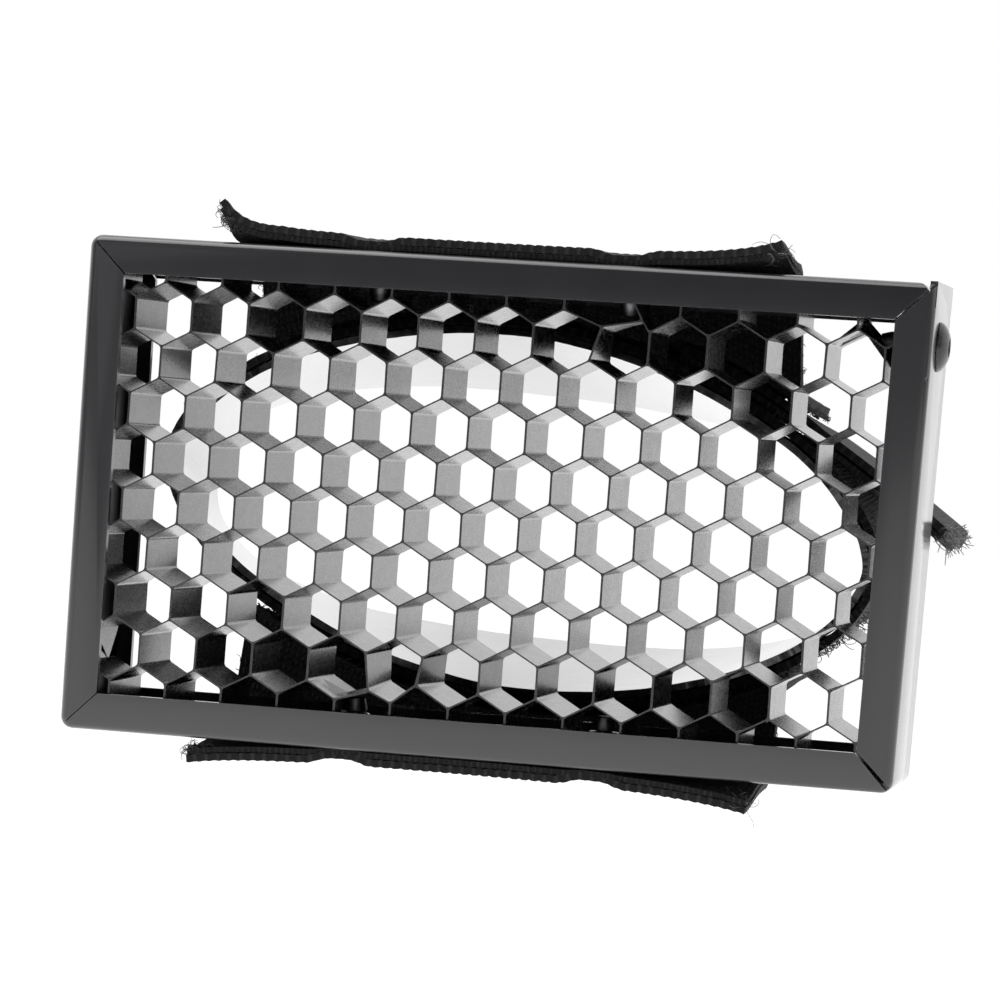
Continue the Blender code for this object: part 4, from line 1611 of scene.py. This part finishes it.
    def hook_rows(self) -> list[list[Vector]]:
        """Rows of small hooks on the inner face, behind the frame."""
        strands = []
        columns = int(self.width / self.hook_pitch)
        start = self.frame_back - self.front + 1.5 * MM
        rows = int((self.length - start) / self.hook_pitch)
        for row in range(rows):
            for column in range(columns):
                x = self.left + (column + 0.5 + 0.25 * (row % 2)) * self.hook_pitch + self.rng.uniform(-0.2, 0.2) * MM
                distance = start + (row + 0.5) * self.hook_pitch + self.rng.uniform(-0.2, 0.2) * MM
                lean = self.rng.choice((-1, 1)) * 0.3 * MM
                heights = ((0.1, 0.0), (-0.6, 0.0), (-1.0, 0.5), (-0.7, 1.0))
                strands.append(
                    [
                        self.surface(x + lean * side, distance, rise * self.hook_height)
                        for rise, side in heights
                    ]
                )
        return strands

    def corner_fuzz(self, x: float, count: int, size: tuple[float, float], way: Vector) -> list[list[Vector]]:
        """A tuft of pulled hooks and yarn at one end of the front edge."""
        strands = []
        for _ in range(count):
            at = x + abs(self.rng.gauss(0, 1.1)) * MM * (1 if x < 0 else -1)
            root = self.surface(at, self.rng.uniform(0, 2.5) * MM, self.rng.uniform(-0.1, 1.0) * self.hook_layer)
            lean = way + 0.8 * Vector([self.rng.gauss(0, 1) for _ in range(3)])
            strands.append(curl(self.rng, root, lean, self.rng.uniform(*size), self.rng.uniform(1.5, 5.0)))
        return strands

    def rim_fuzz(self, count: int) -> list[list[Vector]]:
        """Short curly ends along the tail's end and sides."""
        strands = []
        start = self.frame_back - self.front + 2 * MM
        for _ in range(count):
            if self.rng.random() < 0.5:
                x = self.rng.uniform(self.left, self.right)
                distance = self.length
                way = Vector((0, 1, -0.5 * self.side.value))
            else:
                end = self.rng.choice((-1, 1))
                x = self.left if end < 0 else self.right
                distance = self.rng.uniform(start, self.length)
                way = Vector((end, 0, -0.5 * self.side.value))
            root = self.surface(x, distance, self.rng.uniform(0, 1) * self.hook_layer)
            way = way + 0.6 * Vector([self.rng.gauss(0, 1) for _ in range(3)])
            strands.append(curl(self.rng, root, way, self.rng.uniform(0.5, 1.4) * MM, self.rng.uniform(1.5, 4.5), 6))
        return strands

    def build(self) -> None:
        """Cuts the two layers, sets the hooks and pulls the loose yarn."""
        name = self.side.label
        up = self.side.value
        hook = self.layer(f"{name}_flap_hook_tape", 0.0, self.hook_layer, 0.0, 2.0)
        webbing = self.layer(
            f"{name}_flap_webbing", self.hook_layer, self.hook_layer + self.webbing, self.rib_height, 7.0
        )
        hooks = threads(f"{name}_flap_hooks", self.hook_rows(), 0.11 * MM, tip=0.7)
        down = Vector((0, -0.4, -0.6 * up))
        tuft = threads(
            f"{name}_flap_pulled_hooks",
            self.corner_fuzz(self.left, 90, (0.8 * MM, 2.4 * MM), down + Vector((-0.9, 0, 0)))
            + self.corner_fuzz(self.right, 35, (0.6 * MM, 1.6 * MM), down + Vector((0.7, 0, 0)))
            + self.rim_fuzz(300),
            0.05 * MM,
        )
        stray = threads(
            f"{name}_flap_stray_yarn",
            self.corner_fuzz(self.right, 9, (1.5 * MM, 4.0 * MM), Vector((0.2, -0.1, 1.2 * up)))
            + self.corner_fuzz(self.left, 5, (1.0 * MM, 2.5 * MM), Vector((-0.6, -0.1, 0.4 * up))),
            0.045 * MM,
        )
        for obj, finish, slot, nodes in (
            (hook, HOOK_TAPE, "hook_tape", (f"{name}_flap_root_hook", f"{name}_flap_tail_hook")),
            (webbing, WEBBING, "webbing", (f"{name}_flap_root_webbing", f"{name}_flap_tail_webbing")),
            (hooks, HOOK_TAPE, "hook_tape", ()),
            (tuft, BLACK_FIBRE, "hook_tape", ()),
            # the stray yarn is painted pale: painted highlights on the loose hairs
            (stray, FIBRE_WITH_PAINTED_HIGHLIGHT, "webbing", ()),
        ):
            dress(obj, finish, slot, nodes)
            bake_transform(obj)


# Studio


@dataclass
class Studio:
    """A pale floor, soft light all round and the camera."""

    azimuth: float = math.radians(11.01)
    elevation: float = math.radians(0.95)
    roll: float = math.radians(3.77)
    distance: float = 488.7 * MM
    aim: tuple[float, float, float] = (1.5 * MM, -45.2 * MM, 1.1 * MM)
    lens: float = 162.8
    floor_drop: float = 45.0 * MM
    floor_size: float = 6.0

    def camera(self) -> None:
        """Places the camera round the aim point."""
        away = Vector(
            (
                math.sin(self.azimuth) * math.cos(self.elevation),
                -math.cos(self.azimuth) * math.cos(self.elevation),
                math.sin(self.elevation),
            )
        )
        data = bpy.data.cameras.new("camera")
        data.lens = self.lens
        data.sensor_width = 36.0
        data.clip_start = 0.01
        obj = bpy.data.objects.new("camera", data)
        bpy.context.scene.collection.objects.link(obj)
        level = (-away).to_track_quat("-Z", "Y").to_matrix().to_4x4()
        turn = level @ Matrix.Rotation(self.roll, 4, "Z")
        obj.matrix_world = Matrix.Translation(Vector(self.aim) + away * self.distance) @ turn
        bpy.context.scene.camera = obj

    def floor(self) -> None:
        """A plain pale floor well below the object."""
        bpy.ops.object.select_all(action="DESELECT")
        bpy.ops.mesh.primitive_plane_add(size=self.floor_size, location=(0, 0, CAD_BOX[0][2] - self.floor_drop))
        plane = bpy.context.active_object
        plane.name = "floor"
        material = bpy.data.materials.new("pale_floor")
        material.use_nodes = True
        shader = material.node_tree.nodes["Principled BSDF"]
        shader.inputs["Base Color"].default_value = (0.9, 0.9, 0.9, 1.0)
        shader.inputs["Roughness"].default_value = 0.9
        shader.inputs["Emission Color"].default_value = (1.0, 1.0, 1.0, 1.0)
        shader.inputs["Emission Strength"].default_value = 0.45
        plane.data.materials.append(material)

    def light(self) -> None:
        """White surroundings, brighter behind the object than in front, and two soft lamps."""
        world = bpy.data.worlds.new("studio")
        bpy.context.scene.world = world
        world.use_nodes = True
        graph = Graph(world.node_tree)
        world.node_tree.nodes.clear()
        way = graph.add("TexCoord", "Generated")
        split = graph.add("SeparateXYZ", 0, Vector=way).node
        behind = graph.ramp(split.outputs[1], -0.55, 0.30)
        strength = graph.add("MapRange", Value=behind, To_Min=0.09, To_Max=1.0)
        seen = graph.add("LightPath", "Is Camera Ray")
        level = graph.math("MAXIMUM", strength, seen)
        background = graph.add("Background", 0, Color=(1.0, 1.0, 1.0, 1.0), Strength=level)
        output = world.node_tree.nodes.new("ShaderNodeOutputWorld")
        world.node_tree.links.new(background, output.inputs["Surface"])
        for name, place, power, size in (
            ("top_softbox", Vector((-0.25, -0.15, 0.6)), 2.2, 0.5),
            ("front_fill", Vector((-0.6, -0.9, 0.35)), 0.45, 0.6),
        ):
            data = bpy.data.lights.new(name, "AREA")
            data.energy = power
            data.size = size
            lamp = bpy.data.objects.new(name, data)
            bpy.context.scene.collection.objects.link(lamp)
            lamp.location = place
            lamp.rotation_euler = (-place).to_track_quat("-Z", "Y").to_euler()

    def build(self) -> None:
        """Sets the whole stage."""
        self.camera()
        self.floor()
        self.light()
        view = bpy.context.scene.view_settings
        view.view_transform = "Standard"
        view.look = "None"
        LOG.info("studio set")


def main() -> None:
    """Builds the studio and every sub-assembly."""
    logging.basicConfig(level=logging.INFO, format="%(name)s: %(message)s")
    noise.seed_set(NOISE_SEED)  # vector noise is seeded from the clock otherwise
    Studio().build()
    ChannelFrame().build()
    for rivet in RIVETS:
        rivet.build()
    HoneycombPanel().build()
    HeadStrap().build()
    left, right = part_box("top_flap_root_hook")[0].x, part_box("top_flap_root_hook")[1].x
    top_curls = (
        Curl(left, 3.2 * MM, 2.3 * MM, 5 * MM),
        Curl(left + 7 * MM, 0.35 * MM, 6.0 * MM, 8 * MM),
        Curl(right, 2.1 * MM, 5.5 * MM, 9 * MM),
    )
    bottom_curls = (
        Curl(left, 1.2 * MM, 7.0 * MM, 9 * MM),
        Curl(right, 1.9 * MM, 9.0 * MM, 9 * MM),
    )
    Flap(Side.TOP, top_curls).build()
    Flap(Side.BOTTOM, bottom_curls).build()


if __name__ == "__main__":
    main()
